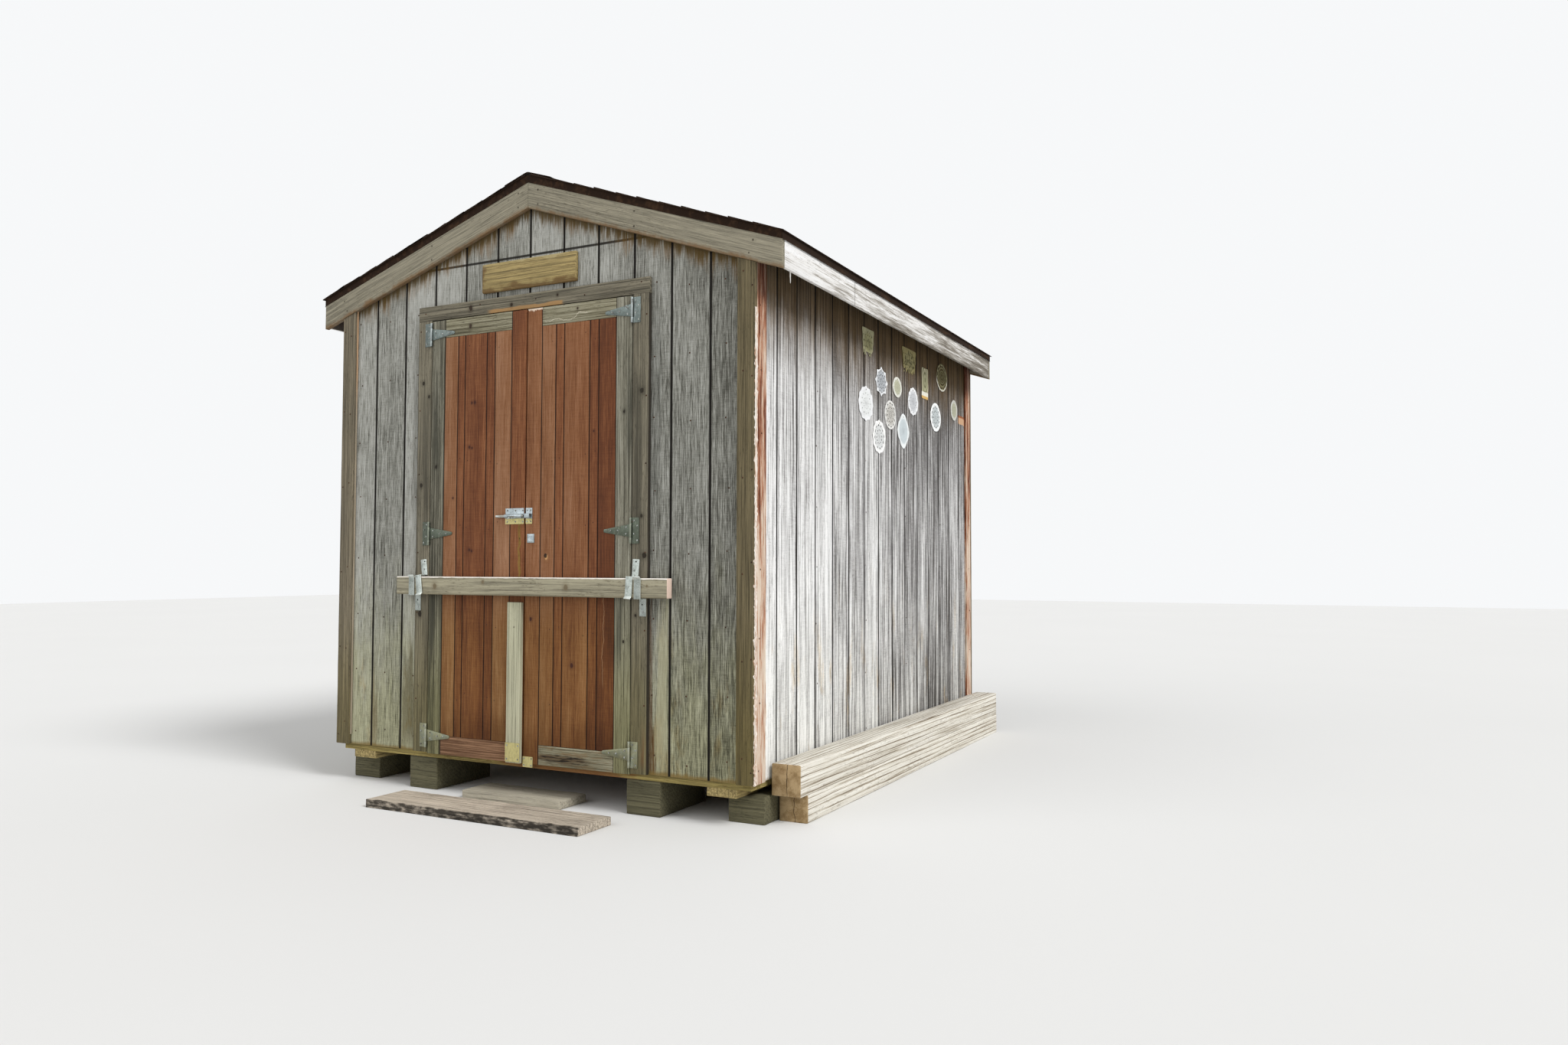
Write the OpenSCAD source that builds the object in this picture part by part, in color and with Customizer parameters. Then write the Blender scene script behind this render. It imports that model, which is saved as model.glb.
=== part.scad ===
// Timber outhouse: an 8 by 10 foot shed of grooved panel siding on a joist floor, with a low gable
// roof, a pair of ledged doors, a drop bar across them, a step plank and side timbers.
// Millimetres, +Z up. The front faces -Y. The origin is on the ground, at the centre of the outline.

/* [Walls] */
// Width over the wall framing
wall_w = 2438.4; // [1828.8:609.6:3657.6]
// Length over the wall framing
wall_l = 3048; // [2438.4:609.6:4267.2]
// Height of the wall plates above the top of the doorway
head_room = 167; // [140:1:300]
// Height of the lower edge of the siding above the ground
base_h = 190; // [150:1:400]
// Thickness of the siding panels
siding_t = 15; // [9:1:19]
// How far the full siding sheets reach above the wall plates, where the gable sheets start
sheet_lap = 98; // [60:1:120]
// Distance between the siding grooves
groove_pitch = 203.2; // [101.6:50.8:304.8]
// Width of a siding groove
groove_w = 9; // [4:1:14]
// Depth of a siding groove
groove_d = 5; // [2:0.5:7]

/* [Framing] */
// Thickness of studs, plates, joists and rafters
lumber_t = 38; // [30:1:50]
// Depth of studs and rafters
stud_d = 89; // [70:1:140]
// Distance between studs and between rafters
stud_pitch = 609.6; // [406.4:203.2:812.8]
// Depth of the floor joists
joist_d = 140; // [89:1:184]
// Distance between floor joists
joist_pitch = 406.4; // [304.8:101.6:609.6]
// How far the floor frame hangs below the siding
rim_drop = 30; // [10:1:60]
// Thickness of the floor boards
floor_t = 18; // [12:1:28]

/* [Roof] */
// Rise of the roof for each unit of run
pitch = 0.3333; // [0.2:0.01:0.5]
// How far the eave fascia stands out from the wall framing
eave_reach = 163; // [100:1:300]
// Thickness of the roof boards
deck_t = 12; // [9:1:19]
// Thickness of a shingle course at its lower edge
shingle_t = 8; // [5:0.5:12]
// Shingle course spacing down the slope
course = 127; // [100:1:160]
// How far the shingles pass the fascia
shingle_lip = 7; // [5:1:25]
// How far the shingles pass the barge boards
rake_lip = 13; // [5:1:25]
// Width of a ridge cap's wing
cap_w = 150; // [100:5:200]
// Thickness of the ridge cap
cap_t = 5; // [3:0.5:8]
// Height of the fascia and depth of the barge boards
fascia_h = 140; // [100:1:184]
// Thickness of the fascia boards
fascia_t = 19; // [15:1:38]
// Thickness of the barge boards
barge_t = 25; // [15:1:38]
// Thickness of the metal drip edge
drip_t = 1.2; // [0.8:0.1:2]
// Height of the face of the drip edge
drip_h = 34; // [20:1:45]
// Width of the drip edge on the roof boards
drip_w = 50; // [30:1:80]
// Distance from the front to the joint in the fascia on the right
fascia_joint = 765; // [300:1:1500]

/* [Trim] */
// Width of the corner, jamb and door frame boards
board_w = 89; // [60:1:120]
// Thickness of the trim boards on the gable walls and the doors
board_t = 19; // [12:1:25]
// Thickness of the corner boards on the long walls
side_board_t = 15; // [10:1:25]
// Height of the board over the doors
head_h = 74; // [60:1:110]
// Width of the sign board
sign_w = 577; // [300:1:800]
// Height of the sign board
sign_h = 144; // [80:1:150]
// Thickness of the sign board
sign_t = 20; // [10:1:30]
// Gap between the head board and the sign
sign_gap = 29; // [5:1:60]

/* [Doors] */
// Clear width between the jamb boards
door_w = 1232; // [1000:1:1500]
// Height of the doorway above the siding's lower edge
door_h = 2176; // [1900:1:2300]
// How far the doors hang below the siding
door_drop = 5; // [0:1:20]
// Gap round the doors
door_gap = 5; // [3:0.5:8]
// Gap where the two doors meet
meeting_gap = 7.5; // [7:0.5:10]
// Thickness of the panel behind the door boards
leaf_t = 10; // [8:1:14]
// Gap between the boards of a door
board_gap = 2.5; // [1:0.5:5]
// Height of the bottom rails
rail_h = 92; // [80:1:100]
// Gap between the batten on the left door and the drop bar
batten_gap = 31; // [5:1:100]
// Width of the batten on the left door
batten_w = 86; // [60:1:89]
// Thickness of the batten on the left door
batten_t = 17; // [12:1:25]

/* [Hinges] */
// Distance of the top hinges from the top of the doors
hinge_top = 68; // [65:1:300]
// Distance of the bottom hinges from the foot of the doors
hinge_foot = 90; // [65:1:300]
// Height of the jamb plate of a T hinge
hinge_h = 118; // [80:1:160]
// Width of the jamb plate of a T hinge
hinge_w = 44; // [30:1:60]
// Length of the tapered strap
strap_l = 152; // [100:1:250]
// Height of each of the jamb plate's two knuckles
knuckle_h = 26; // [18:1:30]
// Height of the strap at the knuckle
strap_root = 60; // [30:1:70]
// Height of the strap at its tip
strap_tip = 16; // [10:1:30]
// Thickness of the hinge steel
hinge_t = 3; // [2:0.5:4]
// Radius of the knuckle
knuckle_r = 6; // [4.5:0.5:9]
// Radius of the hinge pin
pin_r = 3; // [2:0.25:4]
// Running clearance of the pin
pin_gap = 0.08; // [0.02:0.01:0.1]

/* [Bolt] */
// Radius of the slide bolt
bolt_r = 7; // [4:0.5:9]
// Length of the slide bolt
bolt_l = 168; // [150:1:220]
// Gap between the bolt's tip and the right door at rest
bolt_clear = 5; // [4:0.5:10]
// Length of the bolt's base plate
bolt_base_w = 114; // [90:1:150]
// Height of the bolt's base plate
bolt_base_h = 76; // [40:1:90]
// Width of the keeper
keeper_w = 38; // [25:1:60]
// Height of the bolt above the middle hinges
bolt_up = 78; // [40:1:200]
// Travel of the bolt into the keeper
bolt_travel = 30; // [20:1:35]
// Thickness of the walls of the bolt's barrel and of the keeper's loop
guide_wall = 3; // [2:0.5:5]
// Clearance round the bolt in the keeper's loop
keeper_gap = 1; // [0.5:0.25:3]
// Thickness of the bolt's base, the keeper and the other plates on the doors
plate_t = 2; // [1.5:0.5:4]
// Height of the plate over the foot of the batten
corner_plate = 88; // [60:1:110]
// Width of the plate on the right door's corner
small_plate_w = 58; // [40:1:80]
// Height of the plate on the right door's corner
small_plate_h = 49; // [30:1:70]
// Side of the square plate below the keeper
patch = 42; // [25:1:50]
// Distance of the middle of that plate below the bolt
patch_down = 108; // [70:1:150]

/* [Drop bar] */
// How far the drop bar passes the doorway on the left
bar_left = 172; // [110:1:300]
// How far it passes the doorway on the right
bar_right = 222; // [110:1:300]
// Distance of the middle of the bar below the middle hinges
bar_down = 260; // [200:1:400]
// Gap between the bar and the doors
bar_gap = 6; // [5:0.5:12]
// Width of a bar strap
strap_w = 36; // [25:1:50]
// Thickness of the bar straps
strap_t = 4; // [3:0.5:6]
// Length of the tab that holds a bar strap to the jamb
tab_l = 82; // [50:1:120]
// Distance of the inner bar straps' edges from the doorway
strap_in = 4; // [2:1:8]
// Distance between an upper and a lower bar strap
strap_apart = 7; // [4:1:12]

/* [Base] */
// Distance of the inner piers' middles from the side walls
pier_in = 554; // [400:1:700]
// Distance of the corner piers' middles from the side walls
corner_in = 70; // [50:1:91]
// Width of a pier block
pier_w = 183; // [120:1:240]
// Length of a pier block
pier_l = 390; // [200:1:450]
// Thickness of the packing planks
shim_t = 38; // [20:1:50]
// Width of the packing planks
shim_w = 151; // [89:1:184]
// Length of the packing planks
shim_l = 420; // [300:10:600]
// Thickness and width of the side timbers
timber = 140; // [89:1:184]
// Length of the side timbers
timber_l = 3048; // [2438:1:3658]
// Distance of the upper timber's front end from the front wall
timber_y = 144; // [0:1:300]
// How far the lower timber's front end is set back
timber_step = 70; // [0:5:150]
// Height of the upper timber's top above the siding's lower edge
timber_top = 73; // [20:1:100]
// Length of the step plank
step_l = 1219; // [900:1:1500]
// Width of the step plank
step_w = 235; // [184:1:286]
// Thickness of the step plank
step_t = 38; // [30:1:50]
// Distance of the step plank from the front wall
step_y = 195; // [100:1:400]
// How far the step plank lies to the right of the middle
step_shift = 32; // [-100:1:100]
// Length of the slab at the foot of the doorway
slab_l = 590; // [400:10:900]
// Width of the slab
slab_w = 200; // [140:10:300]
// Thickness of the slab
slab_t = 40; // [30:1:60]
// How far the slab's front edge stands out from the front wall
slab_reach = 70; // [0:5:150]

/* [Doilies] */
// Thickness of the lace doilies on the right wall
lace_t = 2; // [1:0.5:4]

/* [Hidden] */

// A hairline between solids that share a node, and the seat of one sloped layer on another
hair = 0.5;
seat = 0.05;
eps = 1;
$fn = 48;

plate_h = door_h + head_room;
sheet_h = plate_h + sheet_lap;
sign_z = door_h + head_h + sign_gap;
slope = atan(pitch);
rafter_v = stud_d / cos(slope);
ridge_z = plate_h + (wall_w / 2 - stud_d) * pitch + rafter_v;
eave_x = wall_w / 2 + eave_reach;
wall_x = wall_w / 2 + siding_t;
corner_x = wall_x + side_board_t;
back_y = wall_l + 2 * siding_t;
lip_y = barge_t + rake_lip;
// The siding's front face, placed so that the outline is centred on the origin
front_y = (step_y + step_w - max(back_y + lip_y, timber_y + timber_l)) / 2;

floor_z = joist_d - rim_drop + floor_t;
open_x = door_w / 2;
leaf_x = open_x - door_gap;
leaf_top = door_h - door_gap;
pin_x = open_x - door_gap / 2;
pin_y = -board_t - knuckle_r - hair;
top_hinge_z = leaf_top - hinge_top;
foot_hinge_z = hinge_foot - door_drop;
mid_hinge_z = (top_hinge_z + foot_hinge_z) / 2;
hinge_heights = [top_hinge_z, mid_hinge_z, foot_hinge_z];
bolt_z = mid_hinge_z + bolt_up;
bar_z = mid_hinge_z - bar_down;

// The roof boards' underside above a given distance from the centre line
function roof_z(x) = ridge_z - abs(x) * pitch;
// A point u down the right slope and v above the underside of the roof boards
function slope_pt(u, v) = [u * cos(slope) + v * sin(slope), ridge_z - u * sin(slope) + v * cos(slope)];
// The distance down the slope at which a layer v above the boards meets a given x
function slope_u(x, v) = (x - v * sin(slope)) / cos(slope);
// The point of that layer at a given x
function at_x(x, v) = slope_pt(slope_u(x, v), v);

// Places along the side walls at a pitch, with the last one flush with the back of the framing
far_y = siding_t + wall_l;
function along_wall(step) = concat(
    [for (k = [0:1:(wall_l - 2 * lumber_t) / step]) siding_t + k * step],
    [far_y - lumber_t]
);

// Coordinates of the building: y from the front face of the siding, z from its lower edge
module site() translate([0, front_y, base_h]) children();

// A block from its lowest and its highest corner
module block(low, high) translate(low) cube(high - low);

// An outline drawn in x and z, carried along y
module along_y(y0, y1) translate([0, y1, 0]) rotate([90, 0, 0]) linear_extrude(y1 - y0) children();

// An outline drawn in y and z, carried along x
module along_x(x0, x1) translate([x0, 0, 0]) rotate([90, 0, 90]) linear_extrude(x1 - x0) children();

module left_and_right() {
    children();
    mirror([1, 0, 0]) children();
}

// Copies of a front board on the back wall
module front_and_back() {
    children();
    translate([0, back_y, 0]) mirror([0, 1, 0]) children();
}

// A panel of the gable walls, between two heights and under the roof
module gable_panel(x0, x1, z0, z1) {
    difference() {
        along_y(0, siding_t) intersection() {
            translate([x0, z0]) square([x1 - x0, z1 - z0]);
            polygon([
                [-wall_w / 2, -eps], [wall_w / 2, -eps], [wall_w / 2, roof_z(wall_w / 2)],
                [0, ridge_z], [-wall_w / 2, roof_z(wall_w / 2)]
            ]);
        }
        for (k = [0:1:wall_w / groove_pitch])
            let (x = -wall_w / 2 + k * groove_pitch)
                if (x > x0 - groove_w && x < x1 + groove_w)
                    block([x - groove_w / 2, -eps, z0 - eps], [x + groove_w / 2, groove_d, ridge_z]);
    }
}

module side_panel(height) {
    difference() {
        block([wall_w / 2, siding_t, 0], [wall_x, far_y, height]);
        for (k = [0:1:wall_l / groove_pitch])
            translate([wall_x - groove_d, siding_t + k * groove_pitch - groove_w / 2, -eps])
                cube([groove_d + eps, groove_w, height + 2 * eps]);
    }
}

// Piers stand in three rows, and the corner ones carry packing planks that reach inwards
corner_x_mid = wall_w / 2 - corner_in;
last_row_y = far_y - pier_l;
inner_rows = [siding_t, (siding_t + last_row_y) / 2, last_row_y];
corner_rows = [100, last_row_y - 35];

module pier(x, y, top) translate([x - pier_w / 2, y, -base_h]) cube([pier_w, pier_l, base_h + top]);

module pier_blocks() {
    color("darkseagreen") site()
        left_and_right() {
            for (y = inner_rows)
                pier(wall_w / 2 - pier_in, y, -rim_drop);
            for (y = corner_rows)
                pier(corner_x_mid, y, -rim_drop - shim_t);
        }
}

module packing_planks() {
    // Each lies on the inner half of its block, flush with the floor frame's end
    shim_y = [siding_t, far_y - shim_l];
    color("tan") site()
        left_and_right()
            for (y = shim_y)
                translate([corner_x_mid - shim_w, y, -rim_drop - shim_t]) cube([shim_w, shim_l, shim_t]);
}

module floor_joists() {
    color("khaki") site() {
        for (y = along_wall(joist_pitch))
            block([-wall_w / 2 + lumber_t + hair, y, -rim_drop],
                  [wall_w / 2 - lumber_t - hair, y + lumber_t, joist_d - rim_drop]);
        left_and_right()
            block([wall_w / 2 - lumber_t, siding_t, -rim_drop],
                  [wall_w / 2, far_y, joist_d - rim_drop]);
    }
}

module floor_deck() {
    color("peru") site()
        block([-wall_w / 2, siding_t, joist_d - rim_drop], [wall_w / 2, far_y, floor_z]);
}

module wall_framing() {
    sole_z = floor_z + lumber_t;
    stud_top = plate_h - lumber_t;
    inner_x = wall_w / 2 - stud_d;
    inner_y = siding_t + stud_d;
    color("burlywood") site() {
        left_and_right() {
            block([inner_x, siding_t, floor_z], [wall_w / 2, far_y, sole_z - hair]);
            block([inner_x, siding_t, stud_top + hair], [wall_w / 2, far_y, plate_h]);
            for (y = along_wall(stud_pitch))
                block([inner_x, y, sole_z], [wall_w / 2, y + lumber_t, stud_top]);
            // The front wall has a sole plate and a trimmer stud beside the doorway
            block([open_x, siding_t, floor_z], [inner_x - hair, inner_y, sole_z - hair]);
            block([open_x, siding_t, sole_z], [open_x + lumber_t, inner_y, door_h]);
        }
        block([-inner_x + hair, siding_t, stud_top + hair], [inner_x - hair, inner_y, plate_h]);
        block([-inner_x + hair, siding_t, door_h + hair], [inner_x - hair, inner_y, stud_top]);
        block([-inner_x + hair, far_y - stud_d, floor_z], [inner_x - hair, far_y, sole_z - hair]);
        block([-inner_x + hair, far_y - stud_d, stud_top + hair], [inner_x - hair, far_y, plate_h]);
        for (k = [1:1:wall_w / stud_pitch - 1])
            translate([-wall_w / 2 + k * stud_pitch - lumber_t / 2, far_y - stud_d, sole_z])
                cube([lumber_t, stud_d, stud_top - sole_z]);
    }
}

// One rafter, notched over the wall plate and cut plumb behind the fascia
module rafter(y) {
    tail_x = eave_x - fascia_t;
    seat_x = wall_w / 2 - stud_d;
    along_y(y, y + lumber_t)
        polygon([
            [hair, roof_z(hair)], [tail_x, roof_z(tail_x)], [tail_x, roof_z(tail_x) - rafter_v],
            [wall_w / 2 + hair, roof_z(wall_w / 2 + hair) - rafter_v],
            [wall_w / 2 + hair, plate_h], [seat_x, plate_h], [hair, roof_z(hair) - rafter_v]
        ]);
}

module rafters() {
    color("wheat") site()
        left_and_right()
            for (y = along_wall(stud_pitch))
                rafter(y);
}

module front_wall_left() {
    color("darkgray") site() gable_panel(-wall_w / 2, -open_x, 0, sheet_h);
}

module front_wall_right() {
    color("darkgray") site() gable_panel(open_x, wall_w / 2, 0, sheet_h);
}

module front_wall_head() {
    color("darkgray") site() gable_panel(-open_x, open_x, door_h, sheet_h);
}

module gable_panels() {
    color("gray") site() front_and_back() gable_panel(-wall_w / 2, wall_w / 2, sheet_h + hair, ridge_z);
}

module back_wall() {
    color("darkgray") site()
        translate([0, back_y, 0]) mirror([0, 1, 0]) gable_panel(-wall_w / 2, wall_w / 2, 0, sheet_h);
}

// The long walls and their corner boards end just under the rafters
side_wall_h = roof_z(wall_x) - rafter_v - hair;
side_board_h = roof_z(corner_x) - rafter_v - hair;

module right_wall() {
    color("lightgray") site() side_panel(side_wall_h);
}

module left_wall() {
    color("lightgray") site() mirror([1, 0, 0]) side_panel(side_wall_h);
}

// The barge boards' lower edge above a given distance from the centre line
function barge_z(x) = roof_z(x) - fascia_h / cos(slope);

module gable_corner_boards() {
    color("gray") site()
        left_and_right() front_and_back()
            along_y(-board_t, 0)
                polygon([
                    [corner_x - board_w, 0], [corner_x, 0],
                    [corner_x, barge_z(corner_x)], [corner_x - board_w, barge_z(corner_x - board_w)]
                ]);
}

module side_corner_boards() {
    color("sandybrown") site()
        left_and_right() front_and_back()
            block([wall_x, 0, 0], [corner_x, board_w, side_board_h]);
}

module barge_boards() {
    color("rosybrown") site()
        left_and_right() front_and_back()
            along_y(-barge_t, 0)
                polygon([
                    [hair / 2, roof_z(hair / 2)], [eave_x, roof_z(eave_x)],
                    [eave_x, barge_z(eave_x)], [hair / 2, barge_z(hair / 2)]
                ]);
}

// A length of fascia with its top bevelled to the roof
module fascia(y0, y1) {
    inner = eave_x - fascia_t;
    along_y(y0, y1)
        polygon([
            [inner, roof_z(eave_x) - fascia_h], [eave_x, roof_z(eave_x) - fascia_h],
            [eave_x, roof_z(eave_x)], [inner, roof_z(inner)]
        ]);
}

module eave_fascias() {
    color("gainsboro") site() {
        fascia(0, fascia_joint);
        fascia(fascia_joint + hair, back_y);
        mirror([1, 0, 0]) fascia(0, back_y);
    }
}

// Layers above the rafters: the roof boards, the drip edge, then the shingles, a step at each course
deck_top = seat + deck_t;
drip_v = deck_top + seat;
layer_v = drip_v + drip_t + seat;

module roof_deck() {
    color("tan") site()
        left_and_right()
            along_y(-barge_t, back_y + barge_t)
                polygon([
                    at_x(hair / 2, seat), at_x(eave_x, seat),
                    at_x(eave_x, deck_top), at_x(hair / 2, deck_top)
                ]);
}

eave_u = slope_u(eave_x, 0) + shingle_lip;
shingle_head = 4;
ridge_u = slope_u(hair / 2, layer_v);
course_n = floor((eave_u - ridge_u - shingle_t) / course);

module shingles() {
    steps = [
        for (k = [0:1:course_n])
            let (u = eave_u - (course_n - k) * course)
                each [slope_pt(u, layer_v + shingle_t), slope_pt(u, layer_v + shingle_head)]
    ];
    top = [for (k = [0:1:len(steps) - 2]) steps[k]];
    color("dimgray") site()
        left_and_right()
            along_y(-lip_y, back_y + lip_y)
                polygon(concat(
                    [slope_pt(ridge_u, layer_v), slope_pt(ridge_u, layer_v + shingle_head)],
                    top,
                    [slope_pt(eave_u, layer_v)]
                ));
}

module ridge_cap() {
    v0 = layer_v + shingle_t;
    top = slope_pt(slope_u(0, v0 + cap_t), v0 + cap_t);
    under = slope_pt(slope_u(0, v0), v0);
    edge = [slope_pt(cap_w, v0 + cap_t), slope_pt(cap_w, v0)];
    color("gray") site()
        along_y(-lip_y, back_y + lip_y)
            polygon([
                top, edge[0], edge[1], under,
                [-edge[1][0], edge[1][1]], [-edge[0][0], edge[0][1]]
            ]);
}

module drip_edges() {
    face_y = -barge_t - drip_t - hair;
    drip_x = eave_x + hair;
    rake_x = eave_x - drip_w;
    drip_low = drip_v - drip_h;
    kick = 4;
    color("saddlebrown") site() {
        // Along the gables: a flange on the boards and a face over the barge board
        left_and_right() front_and_back() {
            along_y(face_y, drip_w / 2)
                polygon([
                    at_x(hair / 2, drip_v), at_x(rake_x, drip_v),
                    at_x(rake_x, drip_v + drip_t), at_x(hair / 2, drip_v + drip_t)
                ]);
            along_y(face_y, face_y + drip_t)
                polygon([
                    at_x(hair / 2, drip_low), at_x(eave_x, drip_low),
                    at_x(eave_x, drip_v + drip_t), at_x(hair / 2, drip_v + drip_t)
                ]);
        }
        // Along the eaves the face has a kick at its lower edge
        left_and_right() {
            flange = at_x(rake_x + hair, drip_v);
            bend = at_x(drip_x, drip_v);
            low = bend[1] - drip_h;
            along_y(-barge_t, back_y + barge_t)
                polygon([
                    flange, bend, [drip_x, low], [drip_x + kick, low - kick],
                    [drip_x + kick + drip_t, low - kick], [drip_x + drip_t, low],
                    [drip_x + drip_t, bend[1] + drip_t / 2], at_x(rake_x + hair, drip_v + drip_t)
                ]);
        }
    }
}

module door_head_board() {
    color("darkkhaki") site()
        block([-open_x - board_w, -board_t, door_h], [open_x + board_w, 0, door_h + head_h]);
}

module door_jambs() {
    color("gray") site()
        left_and_right()
            block([open_x, -board_t, 0], [open_x + board_w, 0, door_h]);
}

module sign_board() {
    color("goldenrod") site()
        block([-sign_w / 2, -sign_t, sign_z], [sign_w / 2, 0, sign_z + sign_h]);
}

// Jamb half of a T hinge: a plate with a knuckle at each end, and the pin
module hinge_plate(z) {
    translate([pin_x, 0, z]) {
        difference() {
            union() {
                block([0, -board_t - hinge_t, -hinge_h / 2], [hinge_w, -board_t, hinge_h / 2]);
                translate([0, pin_y, -hinge_h / 2]) cylinder(r = knuckle_r, h = hinge_h);
            }
            translate([-2 * knuckle_r, pin_y - 2 * knuckle_r, -hinge_h / 2 + knuckle_h])
                cube([3 * knuckle_r + hair, 4 * knuckle_r, hinge_h - 2 * knuckle_h]);
        }
        translate([0, pin_y, -hinge_h / 2 + knuckle_h - eps])
            cylinder(r = pin_r, h = hinge_h - 2 * knuckle_h + 2 * eps);
    }
}

module hinge_plates() {
    color("silver") site()
        left_and_right()
            for (z = hinge_heights)
                hinge_plate(z);
}

// Door half of a T hinge: a tapered strap and the middle knuckle
module hinge_strap(z) {
    half = hinge_h / 2 - knuckle_h - hair;
    root = min(strap_root / 2, half);
    tip_x = strap_tip / 2 - strap_l;
    translate([pin_x, 0, z])
        difference() {
            union() {
                along_y(-board_t - hinge_t, -board_t) {
                    polygon([[0, -root], [tip_x, -strap_tip / 2], [tip_x, strap_tip / 2], [0, root]]);
                    translate([tip_x, 0]) circle(d = strap_tip);
                }
                translate([0, pin_y, -half]) cylinder(r = knuckle_r, h = 2 * half);
            }
            translate([0, pin_y, -half - eps]) cylinder(r = pin_r + pin_gap, h = 2 * half + 2 * eps);
        }
}

module left_leaf_straps() {
    color("silver") site() mirror([1, 0, 0]) for (z = hinge_heights) hinge_strap(z);
}

module right_leaf_straps() {
    color("silver") site() for (z = hinge_heights) hinge_strap(z);
}

// The panel, stiles and rails of the right door
module leaf_panel() {
    block([meeting_gap / 2, 0, -door_drop], [leaf_x, leaf_t, leaf_top]);
}

module leaf_stiles() {
    for (x = [meeting_gap / 2, leaf_x - board_w])
        block([x, -board_t, -door_drop], [x + board_w, 0, leaf_top]);
}

field_in = meeting_gap / 2 + board_w;
field_out = leaf_x - board_w;

module leaf_rails() {
    block([field_in, -board_t, -door_drop], [field_out, 0, -door_drop + rail_h]);
    block([field_in, -board_t, leaf_top - board_w], [field_out, 0, leaf_top]);
}

// Boards of uneven widths from the outer stile inwards, the last one ripped to fit
left_widths = [86, 46, 141, 52];
right_widths = [96, 52, 148, 50];

module leaf_boards(widths) {
    edges = [for (k = [0:1:len(widths)]) field_out - sum(widths, k)];
    for (k = [0:1:len(widths)])
        let (low = k < len(widths) ? edges[k + 1] : field_in)
            block([low + board_gap / 2, -board_t, -door_drop + rail_h + board_gap / 2],
                  [edges[k] - board_gap / 2, 0, leaf_top - board_w - board_gap / 2]);
}

// The sum of the first n numbers of a list
function sum(list, n) = n == 0 ? 0 : list[n - 1] + sum(list, n - 1);

module right_leaf_panel() {
    color("saddlebrown") site() leaf_panel();
}

module right_leaf_boards() {
    color("sienna") site() leaf_boards(right_widths);
}

module right_leaf_stiles() {
    color("gray") site() leaf_stiles();
}

module right_leaf_rails() {
    color("gray") site() leaf_rails();
}

module left_leaf_panel() {
    color("saddlebrown") site() mirror([1, 0, 0]) leaf_panel();
}

module left_leaf_boards() {
    color("sienna") site() mirror([1, 0, 0]) leaf_boards(left_widths);
}

module left_leaf_stiles() {
    color("gray") site() mirror([1, 0, 0]) leaf_stiles();
}

module left_leaf_rails() {
    color("gray") site() mirror([1, 0, 0]) leaf_rails();
}

bar_h = stud_d;
bar_t = lumber_t;
bar_y = -board_t - bar_gap - bar_t;
batten_top = bar_z - bar_h / 2 - batten_gap;

module left_leaf_batten() {
    color("darkseagreen") site()
        block([-meeting_gap / 2 - batten_w, -board_t - batten_t, -door_drop],
              [-meeting_gap / 2, -board_t, batten_top]);
}

// The slide bolt's centre line, its tip and handle when drawn back, and the left end of its base
plate_in = 2;
guide_inset = 4;
handle_r = 3;
handle_gap = 2;
bolt_y = -board_t - guide_wall - bolt_r - hair;
bolt_tip_x = meeting_gap / 2 - bolt_clear;
bolt_base_x = -meeting_gap / 2 - plate_in - bolt_base_w;
handle_x = bolt_base_x + guide_inset + 30;

// A flat plate on the face of a door
module leaf_plate(x, z, w, h) translate([x, -board_t - plate_t, z]) cube([w, plate_t, h]);

// The barrel of the slide bolt, with a slot for the handle in its lower front quarter
module bolt_barrel() {
    x0 = bolt_base_x + guide_inset;
    w = bolt_base_w - 2 * guide_inset;
    slot_x = handle_x - handle_r - handle_gap;
    slot_w = bolt_travel + 2 * handle_r + 2 * handle_gap;
    reach = bolt_r + guide_wall;
    difference() {
        union() {
            translate([x0, bolt_y, bolt_z]) rotate([0, 90, 0]) cylinder(r = reach, h = w);
            block([x0, bolt_y, bolt_z - reach], [x0 + w, -board_t - plate_t, bolt_z + reach]);
        }
        translate([x0 - eps, bolt_y, bolt_z]) rotate([0, 90, 0])
            cylinder(r = bolt_r + pin_gap, h = w + 2 * eps);
        block([slot_x, bolt_y - reach - eps, bolt_z - reach - eps], [slot_x + slot_w, bolt_y, bolt_z]);
    }
}

module left_leaf_fittings() {
    color("lightsteelblue") site() {
        leaf_plate(bolt_base_x, bolt_z - bolt_base_h / 2, bolt_base_w, bolt_base_h);
        bolt_barrel();
        // A plate over the foot of the batten
        translate([0, -batten_t, 0])
            leaf_plate(-meeting_gap / 2 - batten_w, plate_in, batten_w, corner_plate);
    }
}

module bolt_rod() {
    color("lightgray") site() {
        translate([bolt_tip_x - bolt_l, bolt_y, bolt_z]) rotate([0, 90, 0]) cylinder(r = bolt_r, h = bolt_l);
        translate([handle_x, bolt_y, bolt_z]) rotate([135, 0, 0])
            cylinder(r = handle_r, h = 3.5 * bolt_r);
    }
}

// The keeper's loop, a bent strip with cut corners
module keeper_loop(x0, x1) {
    inner = bolt_r + keeper_gap;
    outer = inner + guide_wall;
    cut = guide_wall;
    foot = -board_t - plate_t;
    along_x(x0, x1)
        polygon([
            [foot, bolt_z - outer], [bolt_y - outer + cut, bolt_z - outer],
            [bolt_y - outer, bolt_z - outer + cut], [bolt_y - outer, bolt_z + outer - cut],
            [bolt_y - outer + cut, bolt_z + outer], [foot, bolt_z + outer],
            [foot, bolt_z + inner], [bolt_y - inner, bolt_z + inner],
            [bolt_y - inner, bolt_z - inner], [foot, bolt_z - inner]
        ]);
}

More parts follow.
